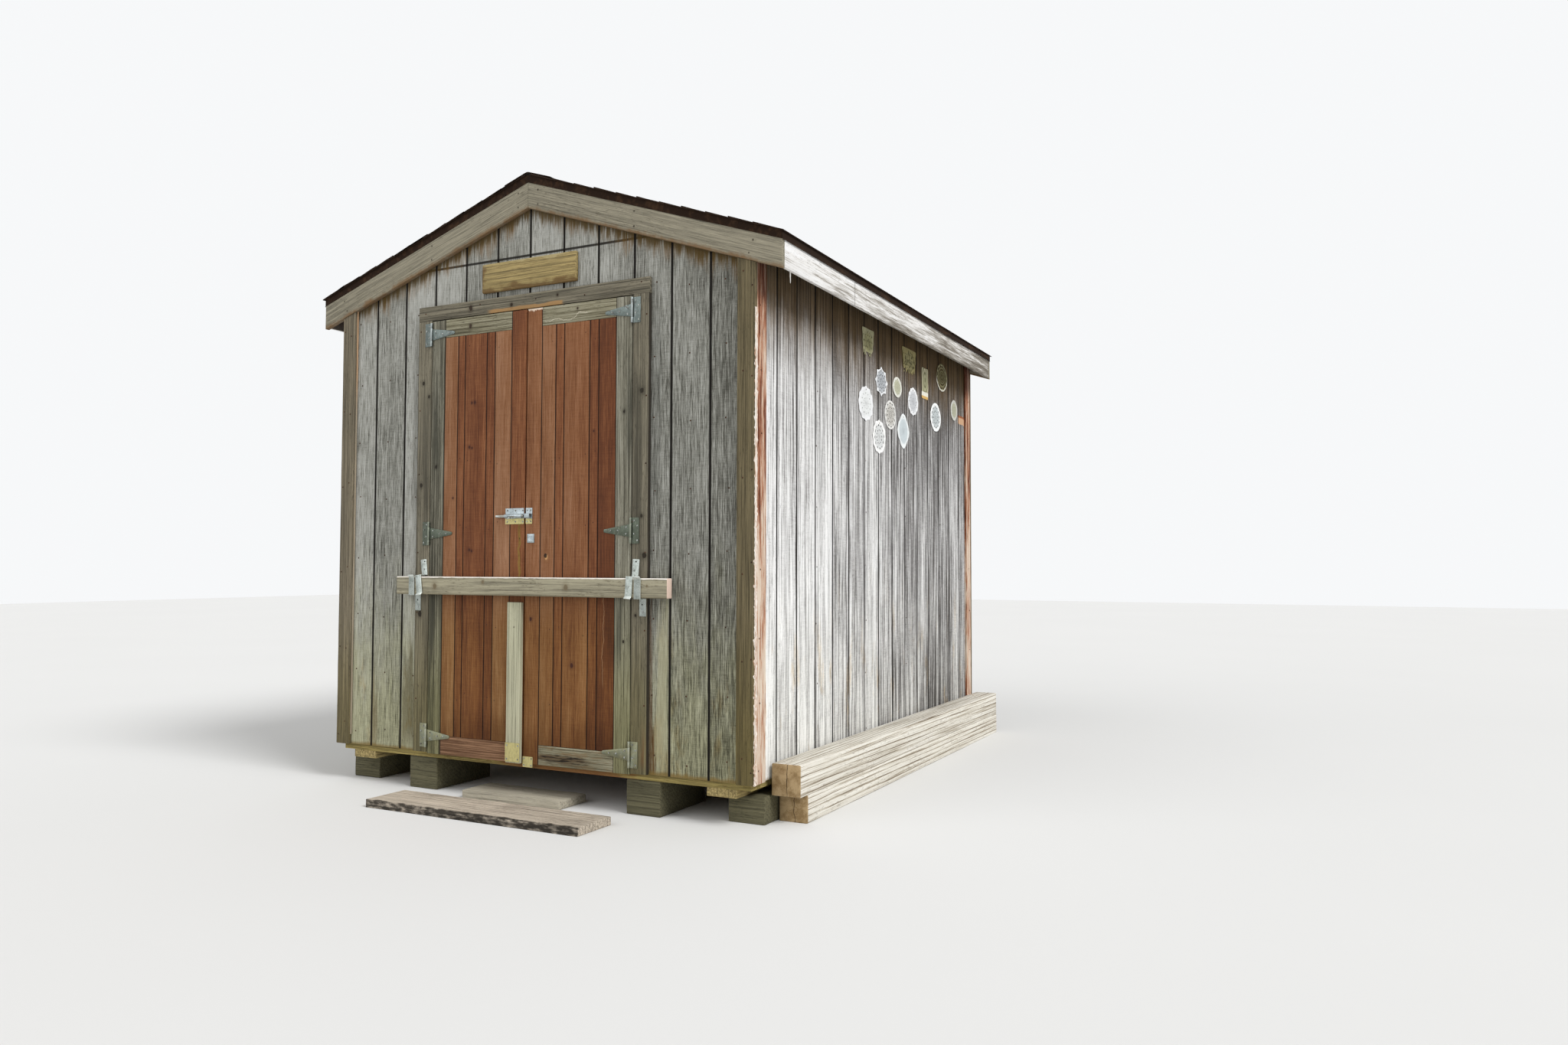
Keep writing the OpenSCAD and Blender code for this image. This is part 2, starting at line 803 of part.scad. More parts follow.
module right_leaf_fittings() {
    x0 = meeting_gap / 2 + plate_in;
    color("lightsteelblue") site() {
        leaf_plate(x0, bolt_z - bolt_base_h / 2, keeper_w, bolt_base_h);
        keeper_loop(x0 + guide_inset, x0 + keeper_w - guide_inset);
        leaf_plate(x0 + 10, bolt_z - patch_down - patch / 2, patch, patch);
        // The lower plate hangs a little below the door
        leaf_plate(meeting_gap / 2, -door_drop - 15, small_plate_w, small_plate_h);
    }
}

bar_slack = 2;
lip_out = 10;

module drop_bar() {
    color("tan") site()
        block([-open_x - bar_left, bar_y, bar_z - bar_h / 2],
              [open_x + bar_right, bar_y + bar_t, bar_z + bar_h / 2]);
}

// A bent strap: a tab on the jamb, an arm past the bar and a plate across the bar's front
module bar_strap(x, tilt, gap) {
    back = -board_t - 0.3;
    front = bar_y - bar_slack - strap_t;
    arm = bar_z + bar_h / 2 + gap;
    tip = arm - bar_h - lip_out;
    translate([x, 0, arm]) rotate([0, tilt, 0]) translate([-x, 0, -arm])
        along_x(x - strap_w / 2, x + strap_w / 2)
            polygon([
                [back, arm + tab_l], [back, arm], [front + strap_t, arm],
                [front + strap_t, tip + lip_out], [front - lip_out + strap_t, tip],
                [front - lip_out, tip + strap_t], [front, tip + lip_out + strap_t],
                [front, arm + strap_t], [back - strap_t, arm + strap_t], [back - strap_t, arm + tab_l]
            ]);
}

module bar_straps() {
    upper_x = open_x + strap_in + strap_w / 2;
    lower_x = upper_x + strap_w + strap_apart;
    color("silver") site() {
        // The upper straps hook over the bar, and hang a little askew
        bar_strap(-upper_x, -7, 4);
        bar_strap(upper_x, 4, 4);
        // The bar lies in the lower ones
        translate([0, 0, 2 * bar_z]) mirror([0, 0, 1])
            for (x = [-lower_x, lower_x])
                bar_strap(x, 0, 0.3);
    }
}

module side_timbers() {
    x0 = corner_x + hair;
    y1 = timber_y + timber_l;
    color("whitesmoke") site() {
        block([x0, timber_y, timber_top - timber], [x0 + timber, y1, timber_top]);
        block([x0 + 2, timber_y + timber_step, -base_h], [x0 + 2 + timber, y1, timber_top - timber - hair]);
    }
}

module step_plank() {
    color("gray") site()
        translate([step_shift - step_l / 2, -step_y - step_w, -base_h]) cube([step_l, step_w, step_t]);
}

module step_slab() {
    color("darkgray") site()
        translate([-step_shift - slab_l / 2, -slab_reach, -base_h]) cube([slab_l, slab_w, slab_t]);
}

// Lace pieces on the right wall: [distance from the back, distance below the wall's top, width,
// height, sides], with 0 sides for a round one
lace = [
    [1795, 170, 160, 147, 4], [1603, 353, 180, 165, 8], [1355, 348, 140, 118, 0],
    [1825, 504, 205, 188, 0], [1466, 521, 170, 164, 0], [1636, 663, 190, 188, 0],
    [1259, 590, 190, 205, 4], [1095, 395, 172, 168, 0], [685, 439, 195, 180, 0],
    [1161, 166, 230, 146, 4], [883, 256, 112, 190, 4], [560, 168, 215, 180, 0],
    [314, 348, 138, 136, 0]
];

module doilies() {
    color("white") site()
        for (p = lace)
            translate([wall_x, back_y - p[0], side_wall_h - p[1]])
                if (p[4] == 4)
                    translate([0, -p[2] / 2, -p[3] / 2]) cube([lace_t, p[2], p[3]]);
                else
                    rotate([0, 90, 0]) cylinder(d = (p[2] + p[3]) / 2, h = lace_t);
}

pier_blocks();
packing_planks();
floor_joists();
floor_deck();
wall_framing();
rafters();
front_wall_left();
front_wall_right();
front_wall_head();
gable_panels();
back_wall();
left_wall();
right_wall();
gable_corner_boards();
side_corner_boards();
barge_boards();
eave_fascias();
roof_deck();
shingles();
ridge_cap();
drip_edges();
door_head_board();
door_jambs();
sign_board();
hinge_plates();
doilies();
side_timbers();
step_plank();
step_slab();
left_leaf_panel();
left_leaf_boards();
left_leaf_stiles();
left_leaf_rails();
left_leaf_batten();
left_leaf_straps();
left_leaf_fittings();
right_leaf_panel();
right_leaf_boards();
right_leaf_stiles();
right_leaf_rails();
right_leaf_straps();
right_leaf_fittings();
bolt_rod();
drop_bar();
bar_straps();
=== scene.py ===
"""Dresses the timber outhouse: weathered boards, roof shingles, hinges, bolt, drop bar, lace and stage.

Run as a script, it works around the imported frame. Metres, +Z up, the front faces -Y.
"""

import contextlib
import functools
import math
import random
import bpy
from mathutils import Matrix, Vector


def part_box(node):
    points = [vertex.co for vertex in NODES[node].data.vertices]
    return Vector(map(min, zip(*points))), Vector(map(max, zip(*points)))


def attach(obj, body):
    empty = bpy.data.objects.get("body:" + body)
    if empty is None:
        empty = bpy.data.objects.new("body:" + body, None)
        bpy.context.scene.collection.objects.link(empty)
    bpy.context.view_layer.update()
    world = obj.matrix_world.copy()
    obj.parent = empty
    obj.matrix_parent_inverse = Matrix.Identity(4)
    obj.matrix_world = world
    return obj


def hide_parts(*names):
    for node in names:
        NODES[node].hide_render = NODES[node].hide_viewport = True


bl_info = {
    "name": "Timber outhouse",
    "version": (1, 0, 0),
    "blender": (4, 5, 0),
    "location": "3D View > Sidebar > Outhouse",
    "description": "Finishes and small pieces for a weathered timber outhouse",
    "category": "Object",
}

import bmesh
import bpy
from bpy.props import (
    FloatProperty,
    FloatVectorProperty,
    IntProperty,
    PointerProperty,
)
from mathutils import Matrix, Vector

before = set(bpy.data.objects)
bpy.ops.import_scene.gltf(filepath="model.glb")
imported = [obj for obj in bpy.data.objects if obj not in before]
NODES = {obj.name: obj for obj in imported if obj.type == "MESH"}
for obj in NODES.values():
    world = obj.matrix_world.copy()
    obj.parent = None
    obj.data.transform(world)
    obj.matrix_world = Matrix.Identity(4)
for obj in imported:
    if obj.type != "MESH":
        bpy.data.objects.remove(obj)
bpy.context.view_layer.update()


def paint(red, green, blue):
    """A colour as it looks on a screen, 0 to 255, as the linear colour that a shader takes."""
    return tuple(
        c / 12.92 if c <= 0.04045 else ((c + 0.055) / 1.055) ** 2.4
        for c in (red / 255, green / 255, blue / 255)
    )


# Places that the finishes and the small pieces share, all read from the frame
FRONT_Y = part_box("front_wall_left")[0].y
BACK_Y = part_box("back_wall")[1].y
WALL_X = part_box("right_wall")[1].x
FOOT_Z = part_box("front_wall_left")[0].z
EAVE_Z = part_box("right_wall")[1].z
BOARD_FACE_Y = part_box("door_jambs")[0].y
EAVE_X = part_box("roof_deck")[1].x
BARGE_LOW_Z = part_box("barge_boards")[0].z
PITCH = 0.3333
SLOPE = math.atan(PITCH)
SIDING_HALF_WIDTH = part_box("front_wall_right")[1].x
SHEET_TOP_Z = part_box("back_wall")[1].z
CORNER_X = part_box("gable_corner_boards")[1].x
GROOVE_PITCH = 0.2032
SIDING_THICKNESS = 0.015
STUD_SPACING = 0.6096
YEAR_RING = 0.0055
SCREW_SINK = 0.0006
# Joints between the boards of each leaf, outwards from the middle
DOOR_JOINTS = {-1: (0.436, 0.390, 0.249, 0.197, 0.09275), 1: (0.426, 0.374, 0.226, 0.176, 0.09275)}


# ---------------------------------------------------------------- sizes and colours

def colour(name, description, default):
    return FloatVectorProperty(
        name=name, description=description, subtype="COLOR", size=3, min=0, max=1, default=default
    )


def length(name, description, default):
    return FloatProperty(name=name, description=description, unit="LENGTH", min=0, default=default)


class SidingLook(bpy.types.PropertyGroup):
    pale: colour("Pale siding", "Palest weathering of the front siding", paint(184, 184, 179))
    body: colour("Siding", "Weathered face of the front siding", paint(160, 160, 153))
    grey: colour("Grey siding", "Darker weathering of the front siding", paint(128, 128, 120))
    fleck: colour("Flecks", "Mildew flecks along the grain", paint(72, 71, 64))
    bleached: colour("Bleached siding", "Sun-bleached face of the right wall", paint(218, 217, 216))
    streak_soft: colour("Soft streaks", "Grey grain of the bleached siding", paint(144, 142, 141))
    streak: colour("Streaks", "Dark grain of the bleached siding", paint(76, 73, 71))
    stain: colour("Stain", "Orange-brown stain under the roof and at the foot", paint(138, 102, 44))
    groove: colour("Groove", "Inside of the grooves", paint(30, 27, 23))


class TrimLook(bpy.types.PropertyGroup):
    board: colour("Trim", "Weathered corner and jamb boards", paint(118, 112, 96))
    barge: colour("Barge board", "Barge boards along the gables", paint(144, 138, 120))
    fascia: colour("Fascia", "Bleached eave boards", paint(226, 224, 221))
    strip: colour("Corner strip", "Orange stain left on the corner boards", paint(180, 134, 104))
    sign: colour("Sign", "Ochre stain of the sign board", paint(154, 136, 90))
    edge_round: length("Worn edge", "Rounding of the boards' worn edges", 0.0022)


class DoorLook(bpy.types.PropertyGroup):
    red: colour("Red boards", "Red-brown stain of the door boards", paint(129, 86, 55))
    red_dark: colour("Red shade", "Dark grain of the door boards", paint(98, 58, 34))
    red_worn: colour("Worn red", "Stain worn thin along the grain", paint(162, 122, 94))
    knot: colour("Knot", "Knots in the boards", paint(58, 28, 20))
    batten: colour("Batten", "Pale batten on the left door", paint(182, 180, 154))


class BarLook(bpy.types.PropertyGroup):
    wood: colour("Bar", "Weathered lumber of the drop bar", paint(156, 150, 128))


class MetalLook(bpy.types.PropertyGroup):
    zinc: colour("Zinc", "Dull galvanised steel", paint(110, 120, 116))
    zinc_dark: colour("Zinc shade", "Dark spangle of the galvanising", paint(84, 92, 90))
    passivated: colour("Yellow zinc", "Yellow passivated plates", paint(196, 186, 128))
    rust: colour("Rust", "Rust at edges and screws", paint(96, 58, 36))
    screw_radius: length("Screw head", "Radius of a screw head", 0.0042)


class RoofLook(bpy.types.PropertyGroup):
    granule: colour("Granules", "Mineral granules of the shingles", paint(98, 94, 88))
    granule_dark: colour("Dark granules", "Dark granules and shade", paint(58, 55, 51))
    tab: length("Tab width", "Width of a shingle tab with its slot", 0.3048)
    slot: length("Slot", "Width of the slot between two tabs", 0.009)
    course: length("Course", "Distance between the courses", 0.127)
    thickness: length("Thickness", "Thickness of a shingle", 0.0042)


class LaceLook(bpy.types.PropertyGroup):
    thickness: length("Thickness", "Thickness of the crocheted cotton", 0.0014)
    rings: IntProperty(name="Rings", description="Crocheted rounds in a doily", min=4, default=9)


class StageLook(bpy.types.PropertyGroup):
    floor: colour("Floor", "Plain pale floor", (0.76, 0.76, 0.75))
    key: FloatProperty(name="Key light", description="Strength of the soft light at the right", default=2.2)
    fill: FloatProperty(name="Fill light", description="Strength of the soft light in front", default=0.85)
    sky: FloatProperty(name="Sky", description="Strength of the plain surroundings", default=0.52)


LOOKS = {
    "outhouse_siding": SidingLook,
    "outhouse_trim": TrimLook,
    "outhouse_doors": DoorLook,
    "outhouse_bar": BarLook,
    "outhouse_metal": MetalLook,
    "outhouse_roof": RoofLook,
    "outhouse_lace": LaceLook,
    "outhouse_stage": StageLook,
}


# ---------------------------------------------------------------- finishes

class Value:
    """What a node of a finish gives, to be reckoned with like a number."""

    def __init__(self, finish, socket):
        self.finish, self.socket = finish, socket

    def calc(self, operation, other=0.0):
        return self.finish.node("Math", {0: self, 1: other}, operation=operation)

    def __add__(self, other):
        return self.calc("ADD", other)

    def __sub__(self, other):
        return self.calc("SUBTRACT", other)

    def __rsub__(self, other):
        return self.finish.node("Math", {0: other, 1: self}, operation="SUBTRACT")

    def __mul__(self, other):
        return self.calc("MULTIPLY", other)

    def __truediv__(self, other):
        return self.calc("DIVIDE", other)

    def __abs__(self):
        return self.calc("ABSOLUTE")

    def fade(self, low, high, at_low, at_high):
        """A smooth way from one number to another while this value goes from low to high."""
        feeds = {"Value": self, "From Min": low, "From Max": high, "To Min": at_low, "To Max": at_high}
        return self.finish.node("MapRange", feeds, interpolation_type="SMOOTHSTEP")

    def rise(self, low, high, top=1.0):
        return self.fade(low, high, 0.0, top)

    def fall(self, low, high, top=1.0):
        return self.fade(low, high, top, 0.0)

    def band(self, low, full, still, high):
        """1 between full and still, 0 below low and above high."""
        return self.rise(low, full) * self.fall(still, high)


def least(values):
    return functools.reduce(lambda a, b: a.calc("MINIMUM", b), values)


def apart(across, up):
    """The distance of a place from a middle, from its distances across and up."""
    return (across * across + up * up).calc("SQRT")


class Finish:
    """A material that is built up in layers of nodes: place, colour, height, then the shader."""

    def __init__(self, name, roughness=0.85, metallic=0.0, specular=0.25):
        self.material = bpy.data.materials.new(name)
        self.material.use_nodes = True
        self.tree = self.material.node_tree
        self.shader = self.tree.nodes["Principled BSDF"].inputs
        for key, number in (("Roughness", roughness), ("Metallic", metallic), ("Specular IOR Level", specular)):
            self.shader[key].default_value = number
        self.place = self.node("TexCoord", out="Object")
        self.x, self.y, self.z = self.axes(self.place)
        self.tint = self.height = None

    def node(self, kind, feeds=(), out=0, **settings):
        """A new node, set and fed, as the value that it gives."""
        made = self.tree.nodes.new("ShaderNode" + kind)
        for key, setting in settings.items():
            setattr(made, key, setting)
        for key, value in dict(feeds).items():
            self.feed(value, made.inputs[key])
        return Value(self, made.outputs[out])

    def feed(self, value, socket):
        if isinstance(value, Value):
            self.tree.links.new(value.socket, socket)
        else:
            socket.default_value = (*value, 1) if socket.type == "RGBA" else value

    def turned(self, vector, location=(0, 0, 0), rotation=(0, 0, 0), scale=(1, 1, 1)):
        return self.node("Mapping", {"Vector": vector, "Location": location, "Rotation": rotation, "Scale": scale})

    def axes(self, vector):
        made = self.node("SeparateXYZ", {0: vector})
        return [Value(self, socket) for socket in made.socket.node.outputs]

    def joined(self, *parts):
        return self.node("CombineXYZ", enumerate(parts))

    def noise(self, scale, detail=4.0, roughness=0.55, distortion=0.0, place=None):
        """Noise in cycles a metre, along each axis or the same along all."""
        scale = scale if isinstance(scale, tuple) else (scale,) * 3
        return self.node("TexNoise", {"Vector": self.turned(place or self.place, scale=scale), "Scale": 1.0,
                                      "Detail": detail, "Roughness": roughness, "Distortion": distortion})

    def stray(self, amount, *settings):
        """Noise about zero."""
        return (self.noise(*settings) - 0.5) * amount

    def mix(self, share, a, b, mode="MIX"):
        return self.node("Mix", {0: share, 6: a, 7: b}, 2, data_type="RGBA", blend_type=mode)

    def mark(self, name):
        """A number that the piece carries for each board."""
        return self.node("Attribute", out="Fac", attribute_name=name)

    def layer(self, share, tint):
        self.tint = self.mix(share, self.tint, tint)

    def wash(self, share, tint):
        """Darkens towards a tint."""
        self.tint = self.mix(share, self.tint, tint, "MULTIPLY")

    def raise_by(self, height, distance):
        """Adds relief: the height, from 0 to 1, stands out by the distance."""
        below = {} if self.height is None else {"Normal": self.height}
        self.height = self.node("Bump", {"Strength": 1.0, "Distance": distance, "Height": height, **below})

    def done(self):
        """The material, its shader fed."""
        self.feed(self.tint, self.shader["Base Color"])
        if self.height is not None:
            self.feed(self.height, self.shader["Normal"])
        return self.material


AXES = {"X": (1, 0, 0), "Y": (0, 1, 0), "Z": (0, 0, 1)}


def wood(name, grain, dark, shade, body, pale, shift=None, fine=130, long=2.6, contrast=1.0, fleck=None,
         flecks=0.5, rings=0.0, marks=False, roughness=0.88, relief=0.0006, seed=0.0, place=None):
    """Weathered wood: crisp fibre, streaks and broad patches through four tones, flecks and growth rings."""
    f = Finish(name, roughness)
    where = f.turned(place(f) if place else f.place, location=(seed, 1.7 * seed, 0.6 * seed))
    if marks:
        number = f.mark("board") * 7.3
        where = f.joined(*(axis + number for axis in f.axes(where)))

    def scales(across, along):
        return tuple(along if way else across for way in AXES[grain])

    def grained(across, along, *settings):
        return f.noise(scales(across, along), *settings, place=where)

    f.broad = grained(7, 0.9)
    f.fibre = grained(fine, long, 7, 0.78, 0.1)
    streak = grained(0.33 * fine, 0.35 * long, 4, 0.6)
    value = f.fibre * (0.80 * contrast) + streak * (0.14 * contrast) + f.broad * (0.08 * contrast)
    value -= 0.51 * contrast - 0.5
    if shift is not None:
        value += shift(f) if callable(shift) else shift
    if rings:
        feeds = {"Vector": f.turned(where, scale=scales(13, 0.9)), "Scale": 1.4, "Distortion": 3.4, "Detail": 3.0,
                 "Detail Scale": 0.7}
        wave = f.node("TexWave", feeds, "Fac", wave_type="RINGS", rings_direction="SPHERICAL", wave_profile="SAW")
        value -= wave.rise(0.72, 0.98) * (0.12 * rings)
    f.value, f.tint = value, f.node("ValToRGB", {0: value})
    tones = f.tint.socket.node.color_ramp.elements
    stops = (0.405, 0.465, 0.515, 0.60)
    for stop in stops[1:3]:
        tones.new(stop)
    for tone, stop, tint in zip(tones, stops, (dark, shade, body, pale)):
        tone.position, tone.color = stop, (*tint, 1)
    if fleck is not None:
        spots = grained(170, 24, 3, 0.65).rise(0.57, 0.63, flecks)
        f.layer(spots * grained(9, 3, 3).fade(0.42, 0.58, 0.25, 1.0), fleck)
    f.raise_by(value, 2 * relief)
    f.raise_by(grained(420, 11, 2), 0.4 * relief)
    return f


def shades(tint, *levels):
    """The four tones of a wood from its body colour: dark, shade, body, pale."""
    return [[min(0.93, level * c) for c in tint] for level in (levels or (0.42, 0.70, 1.0, 1.35))]


def two_tone(name, surface, noise, first, second, span=None, relief=0.0):
    """A plain finish that wavers between two tints; surface is its roughness, metallic and specular."""
    f = Finish(name, *surface)
    wear = f.noise(*noise)
    f.tint = f.mix(wear.rise(*span) if span else wear, first, second)
    if relief:
        f.raise_by(wear, relief)
    return f


def stained(f, left, right, top, low, tint, share):
    """A vertical stain on a face in x and z, ragged at its sides and fading downwards."""
    ragged = f.noise((55, 55, 2.5), 5, 0.7) - 0.5
    inside = (f.x + ragged * 0.07).band(left - 0.012, left + 0.008, right - 0.008, right + 0.012)
    height = f.z.rise(low, low + 0.35 * (top - low)) * (f.z + ragged * 1.2).fall(top - 0.22, top + 0.05)
    f.layer(inside * height * share, tint)


def seams(f, places, tint, half):
    """Dark joints between upright boards, at places along x."""
    side = f.x + f.stray(0.004, (4, 4, 6))
    f.layer(least(abs(side - at) for at in places).fall(half, 2.2 * half, 0.9), tint)


def knots(f, places, tint, halo=0.38):
    """Knots or nail marks on the face of boards, at places across and up, with a radius."""
    far = least(apart((f.x - x) / radius, (f.z - z) / (radius * 1.25)) for x, z, radius in places)
    far += f.stray(0.9, 55, 2)
    f.layer(far.fall(0.7, 2.6, halo), tint)
    f.layer(far.fall(0.7, 1.1, 0.92), tint)


def use(node, finish):
    """Gives a CAD node its finish."""
    slots = NODES[node].data.materials
    slots.clear()
    slots.append(finish.done())


# ---------------------------------------------------------------- modelling by hand

def rest():
    """Object mode with nothing selected."""
    if bpy.context.object is not None and bpy.context.object.mode != "OBJECT":
        bpy.ops.object.mode_set(mode="OBJECT")
    bpy.ops.object.select_all(action="DESELECT")


def chosen(*objects):
    """These objects alone are selected, the first one active."""
    rest()
    for item in objects:
        item.select_set(True)
    bpy.context.view_layer.objects.active = objects[0]


@contextlib.contextmanager
def editing(item, picks="FACE", action="DESELECT"):
    """Edit mode on one piece, then object mode again."""
    chosen(item)
    bpy.ops.object.mode_set(mode="EDIT")
    bpy.ops.mesh.select_mode(type=picks)
    bpy.ops.mesh.select_all(action=action)
    yield
    bpy.ops.object.mode_set(mode="OBJECT")


def pick(item, test, picks="faces"):
    """Selects the faces, edges or vertices of the edited mesh that pass the test."""
    mesh = bmesh.from_edit_mesh(item.data)
    for part in getattr(mesh, picks):
        part.select = bool(test(part))
    mesh.select_flush_mode()
    bmesh.update_edit_mesh(item.data)


def cut(axis, places, **settings):
    """Cuts the edited mesh through, square to an axis, at each place on it."""
    for at in places:
        bpy.ops.mesh.select_all(action="SELECT")
        bpy.ops.mesh.bisect(plane_co=[at * way for way in AXES[axis]], plane_no=AXES[axis], **settings)


def shake(offset, seed, picked=False):
    """Moves the vertices of the edited mesh about, all or only those picked."""
    bpy.ops.mesh.select_mode(type="VERT")
    if not picked:
        bpy.ops.mesh.select_all(action="SELECT")
    bpy.ops.transform.vertex_random(offset=offset, uniform=0.0, normal=0.0, seed=seed)


def fix(item, rotation=True):
    """Makes a piece's place, turn and scale part of its mesh."""
    chosen(item)
    bpy.ops.object.transform_apply(location=True, rotation=rotation, scale=True)


def primitive(kind, name, scale=(1, 1, 1), location=(0, 0, 0), **sizes):
    """A new primitive, scaled and placed; its turn is left to be applied."""
    rest()
    getattr(bpy.ops.mesh, "primitive_" + kind + "_add")(**sizes)
    made = bpy.context.active_object
    made.name = made.data.name = name
    made.scale, made.location = scale, location
    return made


def block(name, size, place=Matrix.Identity(4)):
    """A block of a size, at a place."""
    item = primitive("cube", name, size=1)
    item.matrix_world = place @ Matrix.Diagonal((*size, 1))
    fix(item)
    return item


def modify(item, kind, **settings):
    """Adds a modifier and applies it."""
    chosen(item)
    made = item.modifiers.new(kind.title(), kind)
    for key, value in settings.items():
        setattr(made, key, value)
    bpy.ops.object.modifier_apply(modifier=made.name)


def bevelled(item, width, segments=1, angle=60):
    modify(item, "BEVEL", width=width, segments=segments, limit_method="ANGLE", angle_limit=math.radians(angle))


def write(item, name, values):
    """Writes a number on each vertex, for the finish to read."""
    item.data.attributes.new(name, "FLOAT", "POINT").data.foreach_set("value", values)


def joined(name, *items):
    chosen(*items)
    bpy.ops.object.join()
    items[0].name = items[0].data.name = name
    return items[0]


def copies(master, places, tones=()):
    """Copies of a piece, each with its own mesh and tone, joined into the first and the master removed."""
    made = []
    for place in places:
        item = master.copy()
        item.data = master.data.copy()
        item.matrix_world = place @ master.matrix_world
        bpy.context.scene.collection.objects.link(item)
        made.append(item)
    for item, tone in zip(made, tones):
        write(item, "tone", [tone] * len(item.data.vertices))
    name = master.name
    bpy.data.objects.remove(master)
    return joined(name, *made)


def settle(item, finish, body="root", angle=35, tidy=True, stands_for=()):
    """Puts a finished piece at the origin, smooths it, and gives it its finish and body."""
    fix(item)
    if tidy:
        with editing(item, action="SELECT"):
            bpy.ops.mesh.normals_make_consistent(inside=False)
    bpy.ops.object.shade_smooth_by_angle(angle=math.radians(angle))
    item.data.materials.clear()
    item.data.materials.append(finish.done())
    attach(item, body)
    if stands_for:
        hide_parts(*stands_for)
    return item


def second_finish(item, finish, test):
    """Gives the faces that pass the test a finish of their own."""
    item.data.materials.append(finish.done())
    for face in item.data.polygons:
        face.material_index = int(test(face))


def islands(mesh):
    """For each vertex, the number of the loose part that it belongs to, ordered by place."""
    parent = list(range(len(mesh.vertices)))

    def root(i):
        while parent[i] != i:
            parent[i] = parent[parent[i]]
            i = parent[i]
        return i

    for edge in mesh.edges:
        a, b = (root(i) for i in edge.vertices)
        parent[b] = a
    owners = [root(i) for i in range(len(parent))]
    places = {}
    for vertex, owner in zip(mesh.vertices, owners):
        places.setdefault(owner, []).append(vertex.co)
    middles = {o: [round(sum(c[a] for c in cos) / len(cos), 3) for a in (0, 1, 2)] for o, cos in places.items()}
    rank = {owner: i for i, owner in enumerate(sorted(places, key=middles.get))}
    return [rank[o] for o in owners]


def worn(node, name, finish, body="root", edge=0.002, wobble=0.0, spacing=0.08, grain="Z",
         tones=(), seed=1):
    """A worn copy of a CAD node: doubles merged, cut across the grain, edges rounded and uneven."""
    chosen(NODES[node])
    bpy.ops.object.duplicate()
    item = bpy.context.active_object
    item.name = item.data.name = name
    for key in list(item.keys()):
        del item[key]
    item.parent = None
    item.matrix_world = Matrix.Identity(4)
    low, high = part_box(node)
    with editing(item, action="SELECT"):
        bpy.ops.mesh.remove_doubles(threshold=0.00001)
        bpy.ops.mesh.dissolve_limited(angle_limit=math.radians(1))
    if wobble:
        along = [v.co["XYZ".index(grain)] for v in item.data.vertices]
        with editing(item):
            cut(grain, [min(along) + k * spacing for k in range(1, int((max(along) - min(along)) / spacing))])
    bevelled(item, edge, 2, 40)
    if wobble:
        with editing(item, "VERT"):
            shake(wobble, seed)
        for v in item.data.vertices:
            v.co = Vector(max(low[a], min(high[a], v.co[a])) for a in range(3))
    boards = islands(item.data)
    draw = random.Random(seed)
    drawn = [draw.random() for _ in range(max(boards) + 1)]
    drawn[:len(tones)] = tones
    write(item, "board", [float(n + 1) for n in boards])
    write(item, "tone", [drawn[n] for n in boards])
    return settle(item, finish, body, tidy=False, stands_for=(node,))


# ---------------------------------------------------------------- finishes of this outhouse

